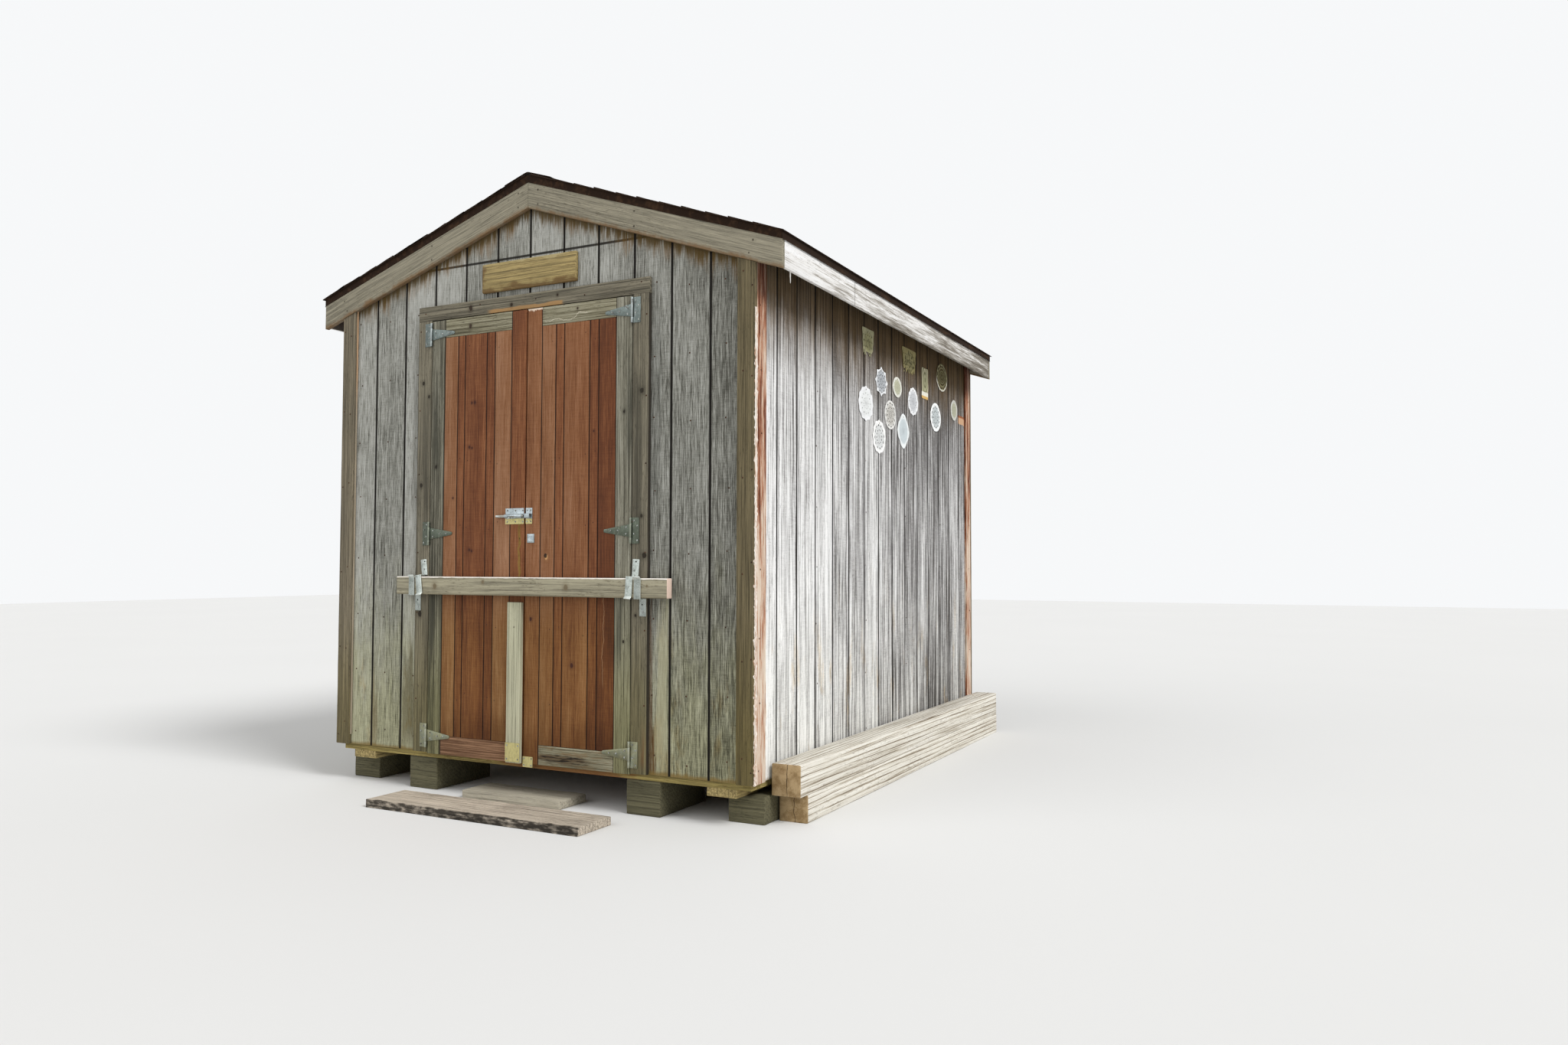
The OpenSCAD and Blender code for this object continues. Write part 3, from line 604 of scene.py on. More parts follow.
def siding_finish(name, look, front=False, bleached=False):
    """Grooved plywood siding: tone by plank, flecks, stains under the roof and at the foot, painted shade under the
    eaves of the side walls and on the right of the front, and painted shade in the grooves.
    """
    start = -SIDING_HALF_WIDTH if front else FRONT_Y + SIDING_THICKNESS

    def shift(f):
        plank = (((f.x if front else f.y) - start) / GROOVE_PITCH).calc("FLOOR")
        value = (f.node("TexWhiteNoise", {"W": plank}, "Value", noise_dimensions="1D") - 0.5) * 0.05
        if front:
            # Lighter towards the foot
            value += f.z.fall(0.3, 1.1, 0.022)
        # Fine marks of the saw across the grain
        value += f.stray(0.085, (16, 16, 300), 3, 0.6)
        value += f.stray(0.15 if bleached else 0.10, (3.2, 3.2, 1.1), 5, 0.6)
        if front:
            # Painted shade: the right part of the front is darker than the left
            value -= f.x.fade(0.5, 0.95, -0.002, 0.056)
        if bleached:
            # Near-white towards the front and low down, darker towards the back and under the roof
            value = value - f.y.fade(-1.4, 0.9, -0.050, 0.048) - f.z.fade(1.2, 2.5, -0.006, 0.045)
        return value

    if bleached:
        f = wood(name, "Z", look.streak, look.streak_soft, look.bleached, (0.88, 0.88, 0.87), shift=shift,
                 fine=120, long=1.5, contrast=1.20, fleck=look.fleck, flecks=0.40, relief=0.0007)
        f.layer(f.noise((160, 160, 1.4), 4, 0.65).rise(0.565, 0.60, 0.62), look.streak)
    else:
        f = wood(name, "Z", look.fleck, look.grey, look.body, look.pale, shift=shift,
                 fine=210, long=7.0, contrast=0.85, fleck=look.fleck, relief=0.0007)
    cloud = f.noise((14, 14, 4), 5, 0.65)
    if front:
        # The joint between the sheets
        f.layer(abs(f.z - SHEET_TOP_Z).fall(0.004, 0.008, 0.95), look.groove)
        # Stain under the roof
        under = f.z + abs(f.x) * PITCH
        peak = BARGE_LOW_Z + EAVE_X * PITCH + 0.14
        drip = f.noise((70, 70, 3.5), 6, 0.7)
        wet = (under + cloud * 0.30).rise(peak - 0.09, peak + 0.05) * drip.fade(0.36, 0.64, 0.15, 0.90)
        f.layer(wet, look.stain)
        f.layer(wet * f.fibre.rise(0.42, 0.56), paint(74, 50, 24))
        f.layer((under + (drip - 0.5) * 0.20).rise(peak - 0.200, peak - 0.150, 0.85), paint(76, 60, 26))
        inside = (f.y - FRONT_Y).calc("MINIMUM", BACK_Y - f.y)
    else:
        # Under the roof: a brown stain together with painted shade of the eave, strongest on the bleached wall
        eave_stain_and_shade = (f.z + cloud * 0.34).rise(EAVE_Z - 0.40, EAVE_Z + 0.06, 0.94 if bleached else 0.6)
        f.layer(eave_stain_and_shade, f.mix(f.fibre.rise(0.40, 0.60), paint(50, 34, 8), paint(98, 74, 32)))
        inside = WALL_X - abs(f.x)
    if bleached:
        # A bare patch where the siding has broken beside the rear corner board
        chip = f.z + cloud * 0.03
        bare = f.y.rise(FRONT_Y + 2.84, FRONT_Y + 2.88) * chip.band(2.085, 2.092, 2.142, 2.146)
        f.layer(bare * 0.85, f.mix(chip.rise(2.128, 2.134), paint(206, 164, 128), paint(150, 84, 40)))
    # Moss and ochre low down
    f.wash((f.z - cloud * 0.9).fall(FOOT_Z - 0.40, FOOT_Z + 0.65, 0.10 if bleached else 0.85), paint(255, 253, 212))
    spot = f.noise((9, 9, 2.6), 5, 0.65)
    f.wash(spot.rise(0.55, 0.68) * f.z.fall(FOOT_Z + 0.1, FOOT_Z + 1.1, 0.6), paint(232, 200, 144))
    if front:
        foot = FOOT_Z - 0.1
        for left, right, top, low, tint, share in (
                (0.700, 0.712, 1.00, foot, (96, 62, 38), 0.7), (0.745, 0.800, 0.95, foot, (174, 170, 140), 0.6),
                (0.708, 0.736, 0.42, foot, (88, 56, 20), 0.85), (-0.80, -0.72, 0.75, foot, (78, 68, 38), 0.65),
                (-1.02, -0.98, 0.60, foot, (104, 84, 50), 0.5), (0.715, 0.75, 2.4, 1.2, (76, 78, 74), 0.25),
                (-0.75, -0.715, 2.4, 1.2, (82, 80, 70), 0.4)):
            stained(f, left, right, top, low, paint(*tint), share)
    f.layer((f.z - spot * 0.05).fall(FOOT_Z - 0.024, FOOT_Z - 0.004, 0.85), paint(120, 100, 54))
    # The grooves hold painted shade, their lips are darkened, and the inner face is bare
    groove = (f.x - 0.0 if front else f.y - start).calc("PINGPONG", GROOVE_PITCH / 2)
    f.layer(groove.fall(0.0050, 0.0085, 0.8) * inside.fall(0.006, 0.007), look.groove)
    f.layer(inside.rise(0.0006, 0.0014) * inside.fall(0.006, 0.007, 0.97), look.groove)
    f.layer(inside.rise(0.008, 0.012, 0.8), paint(170, 140, 98))
    return f


def slope_place(f):
    """A barge board's own axes: along the slope of either side, across it, and through."""
    return f.turned(f.joined(abs(f.x), f.y + f.x.calc("SIGN") * 3.0, f.z), rotation=(0, -SLOPE, 0))


def galvanised_finish(look, name, zinc, dark, rusted=0.85):
    """Hot-dipped zinc: spangle, dull patches, rust spots."""
    f = Finish(name, roughness=0.42, metallic=0.75, specular=0.5)
    spangle = f.node("TexVoronoi", {"Vector": f.turned(f.place, scale=(220, 220, 220)), "Scale": 1.0}, "Distance")
    f.tint = f.mix(spangle.rise(0.1, 0.8, 0.5), zinc, dark)
    patch = f.noise(34, 6, 0.65)
    f.layer(patch.rise(0.44, 0.66, 0.65), dark)
    f.layer(f.noise((52, 52, 18), 5, 0.65).rise(0.52, 0.68, 0.35), paint(172, 182, 182))
    # Painted highlight on the knuckles
    knuckle_highlight = (f.y.fall(BOARD_FACE_Y - 0.0105, BOARD_FACE_Y - 0.0075)
               * f.y.rise(BOARD_FACE_Y - 0.0130, BOARD_FACE_Y - 0.0120))
    f.layer(knuckle_highlight * abs(f.x).rise(0.60, 0.61, 0.45), paint(200, 206, 206))
    if rusted > 0.5:
        f.wash(f.z.fall(1.6, 2.0) * f.z.fade(0.5, 1.0, 0.4, 1.0), paint(218, 216, 196))
    # Yellow bloom low down
    f.layer(patch.fade(0.30, 0.66, 0.4, 1.0) * f.z.fall(0.35, 0.9, 0.30), look.passivated)
    rust = f.noise(75, 6, 0.7)
    f.layer(rust.rise(0.60, 0.70, rusted), look.rust)
    f.feed(rust.fade(0.55, 0.70, 0.40, 0.85), f.shader["Roughness"])
    f.raise_by(rust, 0.0002)
    return f


class OUTHOUSE_OT_siding(bpy.types.Operator):
    """Weathers the grooved siding of all four walls"""
    bl_idname = "outhouse.siding"
    bl_label = "Siding"

    def execute(self, context):
        look = context.scene.outhouse_siding
        front = siding_finish("weathered_siding", look, front=True)
        for node in ("front_wall_left", "front_wall_right", "front_wall_head", "gable_panels", "back_wall"):
            use(node, front)
        use("left_wall", siding_finish("weathered_side_siding", look))
        use("right_wall", siding_finish("bleached_siding", look, bleached=True))
        return {"FINISHED"}


class OUTHOUSE_OT_trim(bpy.types.Operator):
    """Corner boards, barge boards, fascias, jambs, head board and sign, as worn boards"""
    bl_idname = "outhouse.trim"
    bl_label = "Trim boards"

    def execute(self, context):
        look = context.scene.outhouse_trim
        edge = look.edge_round
        f = wood("weathered_trim", "Z", *shades(look.board, 0.40, 0.66, 1.0, 1.5), fleck=paint(50, 46, 38),
                 marks=True, rings=0.22, long=2.2, contrast=0.85)
        f.wash((f.z + f.broad * 0.5).fall(0.55, 1.25, 0.8), paint(236, 232, 190))
        # The outer corner boards are browner than the jambs
        f.wash(f.x.rise(0.95, 1.0), paint(232, 222, 196))
        f.wash(f.x.fall(-1.0, -0.95), paint(255, 249, 244))
        knots(f, [(-0.668, 2.05, 0.009), (-0.675, 1.53, 0.010), (-0.672, 0.88, 0.013), (-0.63, 1.98, 0.007),
                  (0.665, 1.92, 0.012), (0.668, 1.35, 0.008), (0.632, 1.1, 0.012), (0.685, 1.17, 0.012),
                  (0.640, 0.90, 0.006), (0.690, 0.95, 0.007)], paint(36, 30, 22))
        stained(f, 0.625, 0.665, 2.12, 1.0, paint(52, 50, 42), 0.55)
        stained(f, -0.665, -0.62, 2.1, 1.2, paint(52, 50, 42), 0.45)
        stained(f, 0.675, 0.705, 0.42, 0.19, paint(112, 78, 44), 0.6)
        seams(f, (0.7045, -0.7045), paint(36, 32, 26), 0.0016)
        worn("gable_corner_boards", "corner_boards_gable", f, edge=edge, wobble=0.0006, spacing=0.1)
        worn("door_jambs", "jamb_boards", f, edge=edge, wobble=0.0005, spacing=0.1)

        f = wood("stained_corner", "Z", paint(82, 42, 26), paint(146, 88, 62), look.strip, paint(212, 196, 178),
                 shift=lambda f: f.stray(0.5, (30, 30, 4), 5) + f.z.fade(1.1, 1.80, 0.065, -0.022),
                 marks=True, fine=110, long=3.0, contrast=1.3)
        rim = f.y - FRONT_Y + f.noise((20, 20, 26), 5) * 0.018
        f.layer(rim.fall(0.010, 0.016, 0.85) * f.z.fall(2.15, 2.25), paint(204, 190, 176))
        f.layer(f.z.rise(2.24, 2.36, 0.6), paint(70, 38, 24))
        worn("side_corner_boards", "corner_boards_side", f, edge=edge, wobble=0.0014, spacing=0.03)

        f = wood("weathered_barge", "X", *shades(look.barge, 0.40, 0.72, 1.0, 1.38), fleck=paint(70, 64, 50),
                 rings=0.22, place=slope_place, long=3.5, contrast=0.75, fine=170)
        down = f.z + abs(f.x) * PITCH - f.noise(16, 5, 0.65) * 0.07
        foot = BARGE_LOW_Z + EAVE_X * PITCH
        f.layer(down.fall(foot - 0.040, foot - 0.012, 0.75), paint(118, 86, 50))
        nails = [(side * at, foot + up - PITCH * at, 0.0035) for side in (-1, 1)
                 for at, up in ((0.06, 0.03), (0.06, 0.10), (0.62, 0.03), (0.62, 0.10), (1.22, 0.03), (1.24, 0.09))]
        knots(f, nails, paint(40, 32, 24), halo=0.2)
        worn("barge_boards", "barges", f, edge=edge)

        def mottled(f):
            patch = f.stray(0.40, (12, 2.2, 44), 7, 0.72)
            return patch + (f.z - (EAVE_Z - 0.02)) * 0.42 - f.y.fade(-1.6, 1.6, -0.044, 0.050)

        f = wood("bleached_fascia", "Y", paint(104, 97, 86), paint(164, 159, 151), look.fascia, (0.84, 0.84, 0.84),
                 shift=mottled, fine=190, long=5.0, fleck=paint(92, 86, 76), flecks=0.40, contrast=0.40)
        f.layer(abs(f.y - (FRONT_Y + 0.765)).fall(0.001, 0.003, 0.9), paint(50, 44, 38))
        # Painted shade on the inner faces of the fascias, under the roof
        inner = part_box("eave_fascias")[1].x - 0.0188
        f.layer(abs(f.x).fall(inner + 0.001, inner + 0.006, 0.85), paint(54, 40, 18))
        worn("eave_fascias", "fascias", f, edge=edge, wobble=0.0006, grain="Y", spacing=0.12)

        f = wood("weathered_lintel", "X", *shades(look.board, 0.36, 0.66, 0.96, 1.36), fleck=paint(48, 42, 32),
                 rings=0.5, long=1.8, seed=3.0)
        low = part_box("door_head_board")[0].z
        tan = (f.z + f.noise((7, 7, 30)) * 0.03).fall(low + 0.030, low + 0.036, 0.9)
        f.layer(tan * f.x.band(-0.26, -0.22, 0.20, 0.22), paint(164, 128, 84))
        knots(f, [(-0.36, 2.405, 0.012), (0.18, 2.412, 0.006), (-0.10, 2.395, 0.008)], paint(44, 34, 24))
        worn("door_head_board", "lintel", f, edge=edge, wobble=0.0008, grain="X", spacing=0.05)

        f = wood("ochre_sign", "X", *shades(look.sign, 0.45, 0.76, 1.0, 1.32), fleck=paint(92, 70, 38),
                 rings=0.7, roughness=0.7, long=3.0, seed=5.0)
        low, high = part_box("sign_board")
        ragged = f.noise((16, 16, 30), 5) * 0.10
        rim = least((f.z - low.z, f.x - low.x))
        f.layer((rim - ragged).fall(-0.045, -0.015, 0.8), paint(98, 72, 38))
        f.layer((high.z - f.z - ragged).fall(-0.05, -0.030, 0.6), paint(176, 162, 120))
        worn("sign_board", "sign", f, edge=0.006)
        return {"FINISHED"}


class OUTHOUSE_OT_framing(bpy.types.Operator):
    """Bare lumber inside: studs, rafters, roof boards and floor"""
    bl_idname = "outhouse.framing"
    bl_label = "Framing and floor"

    def execute(self, context):
        pine = shades(paint(184, 152, 108), 0.5, 0.8, 1.0, 1.2)
        stud = wood("stud_lumber", "Z", *pine, rings=0.5)
        rafter = wood("rafter_lumber", "X", *pine, rings=0.5, place=slope_place)
        sheathing = wood("roof_sheathing", "Y", *shades(paint(176, 144, 100), 0.5, 0.8, 1.0, 1.2), rings=0.5)
        for f in (rafter, sheathing):
            # Painted shade of the eaves: darker outside the walls
            f.layer(abs(f.x).rise(WALL_X + 0.002, WALL_X + 0.012, 0.85), paint(54, 40, 18))
        floor = wood("floor_boards", "Y", *shades(paint(150, 124, 92)), fleck=paint(70, 58, 44), rings=0.5)
        gap = (floor.x + 5.0).calc("PINGPONG", 0.07)
        floor.layer(gap.fall(0.0, 0.002, 0.85), paint(40, 32, 24))
        rim = wood("treated_rim", "X", *shades(paint(160, 144, 88)), fleck=paint(90, 62, 32), rings=0.6)
        red = (rim.x + rim.noise((4, 4, 30)) * 0.6).band(0.05, 0.25, 0.75, 0.9)
        rim.layer(red * 0.7, paint(126, 74, 44))
        for node, finish in (("wall_framing", stud), ("rafters", rafter), ("roof_deck", sheathing),
                             ("floor_deck", floor), ("floor_joists", rim)):
            use(node, finish)
        return {"FINISHED"}


class OUTHOUSE_OT_base(bpy.types.Operator):
    """Blocks, packing planks, side timbers, step plank and slab"""
    bl_idname = "outhouse.base"
    bl_label = "Base"

    def execute(self, context):
        f = wood("mossy_blocks", "X", *shades(paint(98, 94, 72), 0.45, 0.72, 1.0, 1.3), fleck=paint(36, 36, 26),
                 marks=True, contrast=0.8, rings=0.4)
        worn("pier_blocks", "piers", f, edge=0.006, wobble=0.0012, spacing=0.05)
        f = wood("packing_wood", "Y", *shades(paint(166, 148, 100)), fleck=paint(80, 66, 44), rings=0.6)
        worn("packing_planks", "packing", f, wobble=0.001, grain="Y")
        f = wood("bleached_timber", "Y", paint(112, 100, 84), paint(172, 162, 144), paint(214, 209, 197),
                 paint(232, 229, 220), shift=0.030, fleck=paint(116, 106, 92), flecks=0.4, rings=0.85,
                 marks=True, relief=0.0009, long=1.4, contrast=0.8)
        # The growth rings on the front ends of the upper and the lower timber, about their hearts
        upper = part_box("side_timbers")[0].y
        for front, heart_x, heart_z in ((upper, 1.3197, 0.15), (upper + 0.0705, 1.3217, 0.02)):
            end = f.y.fall(front + 0.002, front + 0.006) * f.y.rise(front - 0.002, front - 0.001)
            if front > upper:
                end *= f.z.fall(0.123, 0.1235)
            across = f.x - heart_x
            bend = f.noise(14, 3) * 0.03
            year = ((apart(across, f.z - heart_z) + bend) * (2 * math.pi / YEAR_RING)).calc("SINE")
            brown = f.mix(f.noise(26, 6, 0.7).rise(0.36, 0.62), paint(138, 114, 78), paint(178, 154, 116))
            brown = f.mix(year.rise(0.1, 0.9, 0.30), brown, paint(116, 92, 60))
            check = abs(across + bend - 0.022)
            f.layer(end, f.mix(check.fall(0.0008, 0.0022, 0.85), brown, paint(52, 38, 26)))
        worn("side_timbers", "timbers", f, edge=0.005, wobble=0.0012, grain="Y", spacing=0.09)
        f = wood("worn_step", "X", *shades(paint(194, 182, 165), 0.40, 0.74, 1.0, 1.2), fleck=paint(72, 62, 52),
                 rings=0.7, long=2.0)
        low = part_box("step_plank")[0].y
        rot = f.y - f.noise((22, 22, 60), 5) * 0.06
        f.layer(rot.fall(low - 0.034, low - 0.014, 0.92), paint(30, 26, 20))
        worn("step_plank", "step", f, edge=0.003, wobble=0.0022, grain="X", spacing=0.045)
        f = wood("pale_slab", "X", *shades(paint(172, 165, 148), 0.55, 0.82, 1.0, 1.15), fleck=paint(90, 86, 74),
                 rings=0.3, flecks=0.35)
        worn("step_slab", "slab", f, edge=0.005, wobble=0.002, grain="X", spacing=0.04)
        return {"FINISHED"}


class OUTHOUSE_OT_shingles(bpy.types.Operator):
    """Three-tab shingles in courses, and the caps along the ridge"""
    bl_idname = "outhouse.shingles"
    bl_label = "Shingles"

    def execute(self, context):
        look = context.scene.outhouse_roof
        low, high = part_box("shingles")
        draw = random.Random(7)
        f = Finish("mineral_shingle", roughness=0.95, specular=0.15)
        grain = f.noise(900, 2)
        f.tint = f.mix(grain.rise(0.42, 0.60), look.granule_dark, look.granule)
        f.layer(f.mark("tone").rise(0.0, 1.0, 0.5), look.granule_dark)
        f.layer(f.noise(6, 6, 0.7).rise(0.54, 0.70, 0.4), paint(116, 118, 96))
        # The cut edges all round are dark with wet felt
        rim = least((high.y - f.y, f.y - low.y, high.x - abs(f.x)))
        f.layer(rim.fall(0.010, 0.016, 0.9), paint(46, 30, 19))
        f.raise_by(grain, 0.0008)

        # The ridge line of the rafters' top, and the layer that the shingles lie on
        ridge_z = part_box("barge_boards")[1].z + 0.00025 * PITCH
        layer = 0.01335
        cos, sin = math.cos(SLOPE), math.sin(SLOPE)
        eave = EAVE_X / cos + 0.007
        width = high.y - low.y
        lift = 0.004
        long = look.course + 0.034
        tilt = math.atan(lift / look.course)
        rise = layer + 2 * lift - lift * (long / 2) / look.course - look.thickness / 2 - 0.0002

        def on_slope(down, up, y, tilt=0.0):
            """A place on the right slope, in metres down it from the ridge and up from it."""
            place = Matrix.Translation((down * cos + up * sin, y, ridge_z - down * sin + up * cos))
            return place @ Matrix.Rotation(SLOPE + tilt, 4, "Y")

        def askew():
            return Matrix.Rotation(draw.uniform(-0.004, 0.004), 4, "Z")

        tab = block("shingle_courses", (long, look.tab - look.slot, look.thickness))
        with editing(tab, "EDGE", "SELECT"):
            bpy.ops.mesh.subdivide(number_cuts=2)
        bevelled(tab, 0.0011)
        places, tones = [], []
        for row in range(int((eave - 0.03) / look.course) + 1):
            for k in range(int(width / look.tab) + 2):
                y = low.y + (k + 0.5) * look.tab - (look.tab / 2 if row % 2 else 0) + 0.004 * draw.random()
                down = eave - row * look.course - long / 2 + draw.uniform(-0.0015, 0.0010)
                places.append(on_slope(max(down, 0.02 + long / 2), rise, y, tilt) @ askew())
                tones.append(draw.random())
        side = copies(tab, places, tones)
        fix(side)
        # The rakes are cut, a little unevenly
        with editing(side):
            cut("Y", [low.y + 0.0015], use_fill=True, clear_inner=True)
            cut("Y", [high.y - 0.0015], use_fill=True, clear_outer=True)
            bpy.ops.mesh.select_mode(type="VERT")
            pick(side, lambda v: v.co.y < low.y + 0.003 or v.co.y > high.y - 0.003, "verts")
            shake(0.0014, 3, picked=True)
        # The layer that shows in the slots
        felt = block("roof_felt", (eave - 0.012, width - 0.006, 0.0028),
                     on_slope((eave + 0.006) / 2, layer + 0.0016, (low.y + high.y) / 2))
        write(felt, "tone", [1.0] * len(felt.data.vertices))
        side = joined("shingle_courses", side, felt)
        far = Matrix.Translation((0, low.y + high.y, 0)) @ Matrix.Rotation(math.pi, 4, "Z")
        roof = copies(side, (Matrix.Identity(4), far))
        settle(roof, f, angle=40, stands_for=("shingles",))

        # Ridge caps: a bent piece every course, each lapping the one before
        lap = look.course + 0.045
        cap = block("ridge_caps", (2 * 0.148 * cos, lap, 0.0036))
        with editing(cap):
            cut("X", (-0.02, -0.008, 0.0, 0.008, 0.02))
        for v in cap.data.vertices:
            v.co.z -= PITCH * math.hypot(v.co.x, 0.008) - PITCH * 0.008
        bevelled(cap, 0.001)
        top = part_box("ridge_cap")[1].z - 0.0032
        places, tones = [], []
        for k in range(int((width - 0.03) / look.course) + 1):
            y = min(low.y + 0.003 + lap / 2 + k * look.course, high.y - 0.003 - lap / 2)
            places.append(Matrix.Translation((0, y, top)) @ Matrix.Rotation(0.011, 4, "X") @ askew())
            tones.append(draw.random())
        settle(copies(cap, places, tones), f, angle=50, stands_for=("ridge_cap",))
        use("drip_edges", two_tone("dark_drip_edge", (0.8, 0.0, 0.1), ((30, 6, 30), 5), paint(37, 24, 15),
                                   paint(60, 42, 28), (0.45, 0.7), 0.0003))
        return {"FINISHED"}


class OUTHOUSE_OT_doors(bpy.types.Operator):
    """Both door leaves: boards of their own tones, stiles, rails, batten and inner face"""
    bl_idname = "outhouse.doors"
    bl_label = "Doors"

    def execute(self, context):
        look = context.scene.outhouse_doors
        sides = (-1, 1)

        def toned(f):
            saw = f.stray(0.035, (14, 14, 240), 2)
            cloud = f.stray(0.13, (16, 16, 2.2), 5) - 0.008
            return f.mark("tone").fade(0.0, 1.0, -0.034, 0.052) + saw + cloud

        f = wood("red_door_boards", "Z", [0.45 * c for c in look.red_dark], look.red_dark, look.red,
                 look.red_worn, shift=toned, fleck=paint(64, 36, 24), flecks=0.25, rings=0.10, marks=True,
                 roughness=0.8, fine=210, long=5.0, contrast=0.40)
        f.wash(1.0, f.mix(f.mark("tone").rise(0.3, 0.9), paint(255, 242, 232), paint(252, 252, 250)))
        # Below the bar the stain is yellower, and dirt stands at the foot
        f.wash(f.z.fall(0.75, 1.1, 0.9), paint(244, 250, 214))
        f.wash((f.z + f.noise((22, 22, 5)) * 0.5).fall(0.45, 0.75, 0.6), paint(176, 156, 110))
        seams(f, [side * at for side in sides for at in DOOR_JOINTS[side]], paint(24, 14, 10), 0.0019)
        nails = [(side * (at - 0.018 - 0.004 * ((row + k) % 3)), up + 0.012 * ((k * 7 + row) % 4), 0.0022)
                 for side in sides for row, up in enumerate((0.46, 0.80, 1.30, 1.62, 2.18))
                 for k, at in enumerate(DOOR_JOINTS[side][:-1])]
        knots(f, [(-0.345, 1.93, 0.006), (-0.325, 1.93, 0.008), (-0.357, 1.71, 0.007), (-0.340, 1.705, 0.005),
                  (-0.35, 1.20, 0.007), (-0.335, 1.195, 0.006), (0.285, 0.66, 0.010), (0.04, 0.87, 0.008),
                  (-0.46, 1.46, 0.005), (0.40, 1.75, 0.005)], look.knot)
        knots(f, nails, paint(40, 24, 18), halo=0.15)
        # A knot hole, painted near-black as the shade inside it, with a pale chip beside it
        knots(f, [(0.129, 1.164, 0.010)], paint(196, 150, 100), halo=0.1)
        knots(f, [(0.124, 1.171, 0.0095)], paint(14, 9, 8), halo=0.1)
        # The split below the bolt, with yellow-green fungus in it, and a pale crack on the right leaf
        split_x, crack_x = -0.032, 0.463
        bend = f.stray(0.05, (5, 5, 9))
        moist = f.noise((120, 120, 26), 5, 0.7)
        split = abs(f.x + bend - split_x) + (moist - 0.42) * 0.020
        tall = f.z.band(1.04, 1.07, 1.325, 1.335)
        f.layer(split.fall(0.003, 0.012, 0.75) * tall, paint(132, 108, 48))
        f.layer(split.fall(0.0006, 0.0026, 0.9) * tall, paint(34, 22, 14))
        crack = abs(f.x + bend - crack_x).fall(0.0008, 0.002, 0.55)
        f.layer(crack * f.z.band(0.55, 0.6, 1.0, 1.05), paint(176, 140, 104))
        # The ragged white top of the right leaf's inner stile
        white = (f.z + f.noise((60, 60, 14), 5) * 0.05).rise(2.372, 2.380) * abs(f.x).fall(0.09, 0.1)
        f.layer(white * f.x.rise(0.0, 0.004), paint(214, 196, 176))
        red = f

        f = wood("grey_door_frame", "Z", paint(64, 62, 52), paint(98, 95, 82), paint(130, 127, 112),
                 paint(158, 156, 142), fleck=paint(52, 50, 42), flecks=0.45, rings=0.2, marks=True, long=2.2,
                 shift=lambda f: f.stray(0.16, (26, 26, 1.1), 5) + f.x.fade(-0.3, 0.3, -0.030, 0.012),
                 contrast=0.85)
        f.wash(f.z.fall(0.3, 1.2, 0.85), paint(236, 236, 190))
        for place in ((0.535, 0.56, 1.16, 0.6), (-0.60, -0.575, 1.16, 0.6), (0.585, 0.612, 2.1, 1.5),
                      (-0.60, -0.56, 2.1, 1.55)):
            stained(f, *place, paint(52, 52, 44), 0.6)
        knots(f, [(0.575, 0.78, 0.006), (-0.575, 1.62, 0.008), (0.57, 1.83, 0.007)], paint(38, 34, 26))
        seams(f, (0.5225, -0.5225), paint(30, 24, 18), 0.0024)
        grey = f

        low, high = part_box("left_leaf_rails")
        f = wood("door_rail", "X", paint(76, 70, 54), paint(112, 107, 86), paint(136, 131, 108),
                 paint(160, 156, 136), fleck=paint(60, 52, 38), rings=0.55, marks=True, long=2.0)
        knots(f, [(-0.36, 2.315, 0.010), (0.30, 2.335, 0.006)], paint(52, 40, 30))
        # A white crack in the right top rail
        crack = abs(f.z + f.stray(0.10, 9, 5) - (high.z - 0.058)).fall(0.0008, 0.0024, 0.6)
        crack *= f.x.band(0.10, 0.12, 0.36, 0.40)
        f.layer(crack * f.z.rise(1.9, 2.0), paint(216, 208, 188))
        # The left bottom rail is brown, the right one brown at its edges and rotten in the middle
        bottom = f.z.fall(0.4, 0.5)
        brown = f.mix(f.value.rise(0.42, 0.58), paint(92, 62, 42), paint(150, 112, 84))
        f.layer(bottom * f.x.fall(-0.02, 0.0) * 0.92, brown)
        right = bottom * f.x.rise(0.0, 0.02)
        rot = f.noise((7, 30, 46), 6, 0.65)
        f.layer(right * rot.fall(0.40, 0.52, 0.6), paint(122, 100, 70))
        across, up = (f.x - 0.24) / 0.15, (f.z - (low.z + 0.035)) / 0.022
        soft = right * (across * across + up * up + (rot - 0.5) * 3.2).fall(0.3, 1.6)
        f.layer(soft * 0.8, paint(88, 72, 52))
        f.layer(soft * f.noise((9, 60, 110), 5, 0.6).fall(0.44, 0.52, 0.95), paint(26, 20, 14))
        seams(f, (-0.0928, 0.0928), paint(34, 26, 20), 0.0012)
        rail = f

        back = wood("door_back", "Z", *shades(paint(168, 134, 94), 0.5, 0.8, 1.0, 1.2), rings=0.6)
        batten = wood("pale_batten", "Z", *shades(look.batten, 0.45, 0.86, 1.0, 1.16), fleck=paint(112, 108, 86),
                      flecks=0.35, long=1.6, rings=0.3)
        knots(batten, [(-0.047, 0.83, 0.0032)], paint(40, 36, 28), halo=0.2)
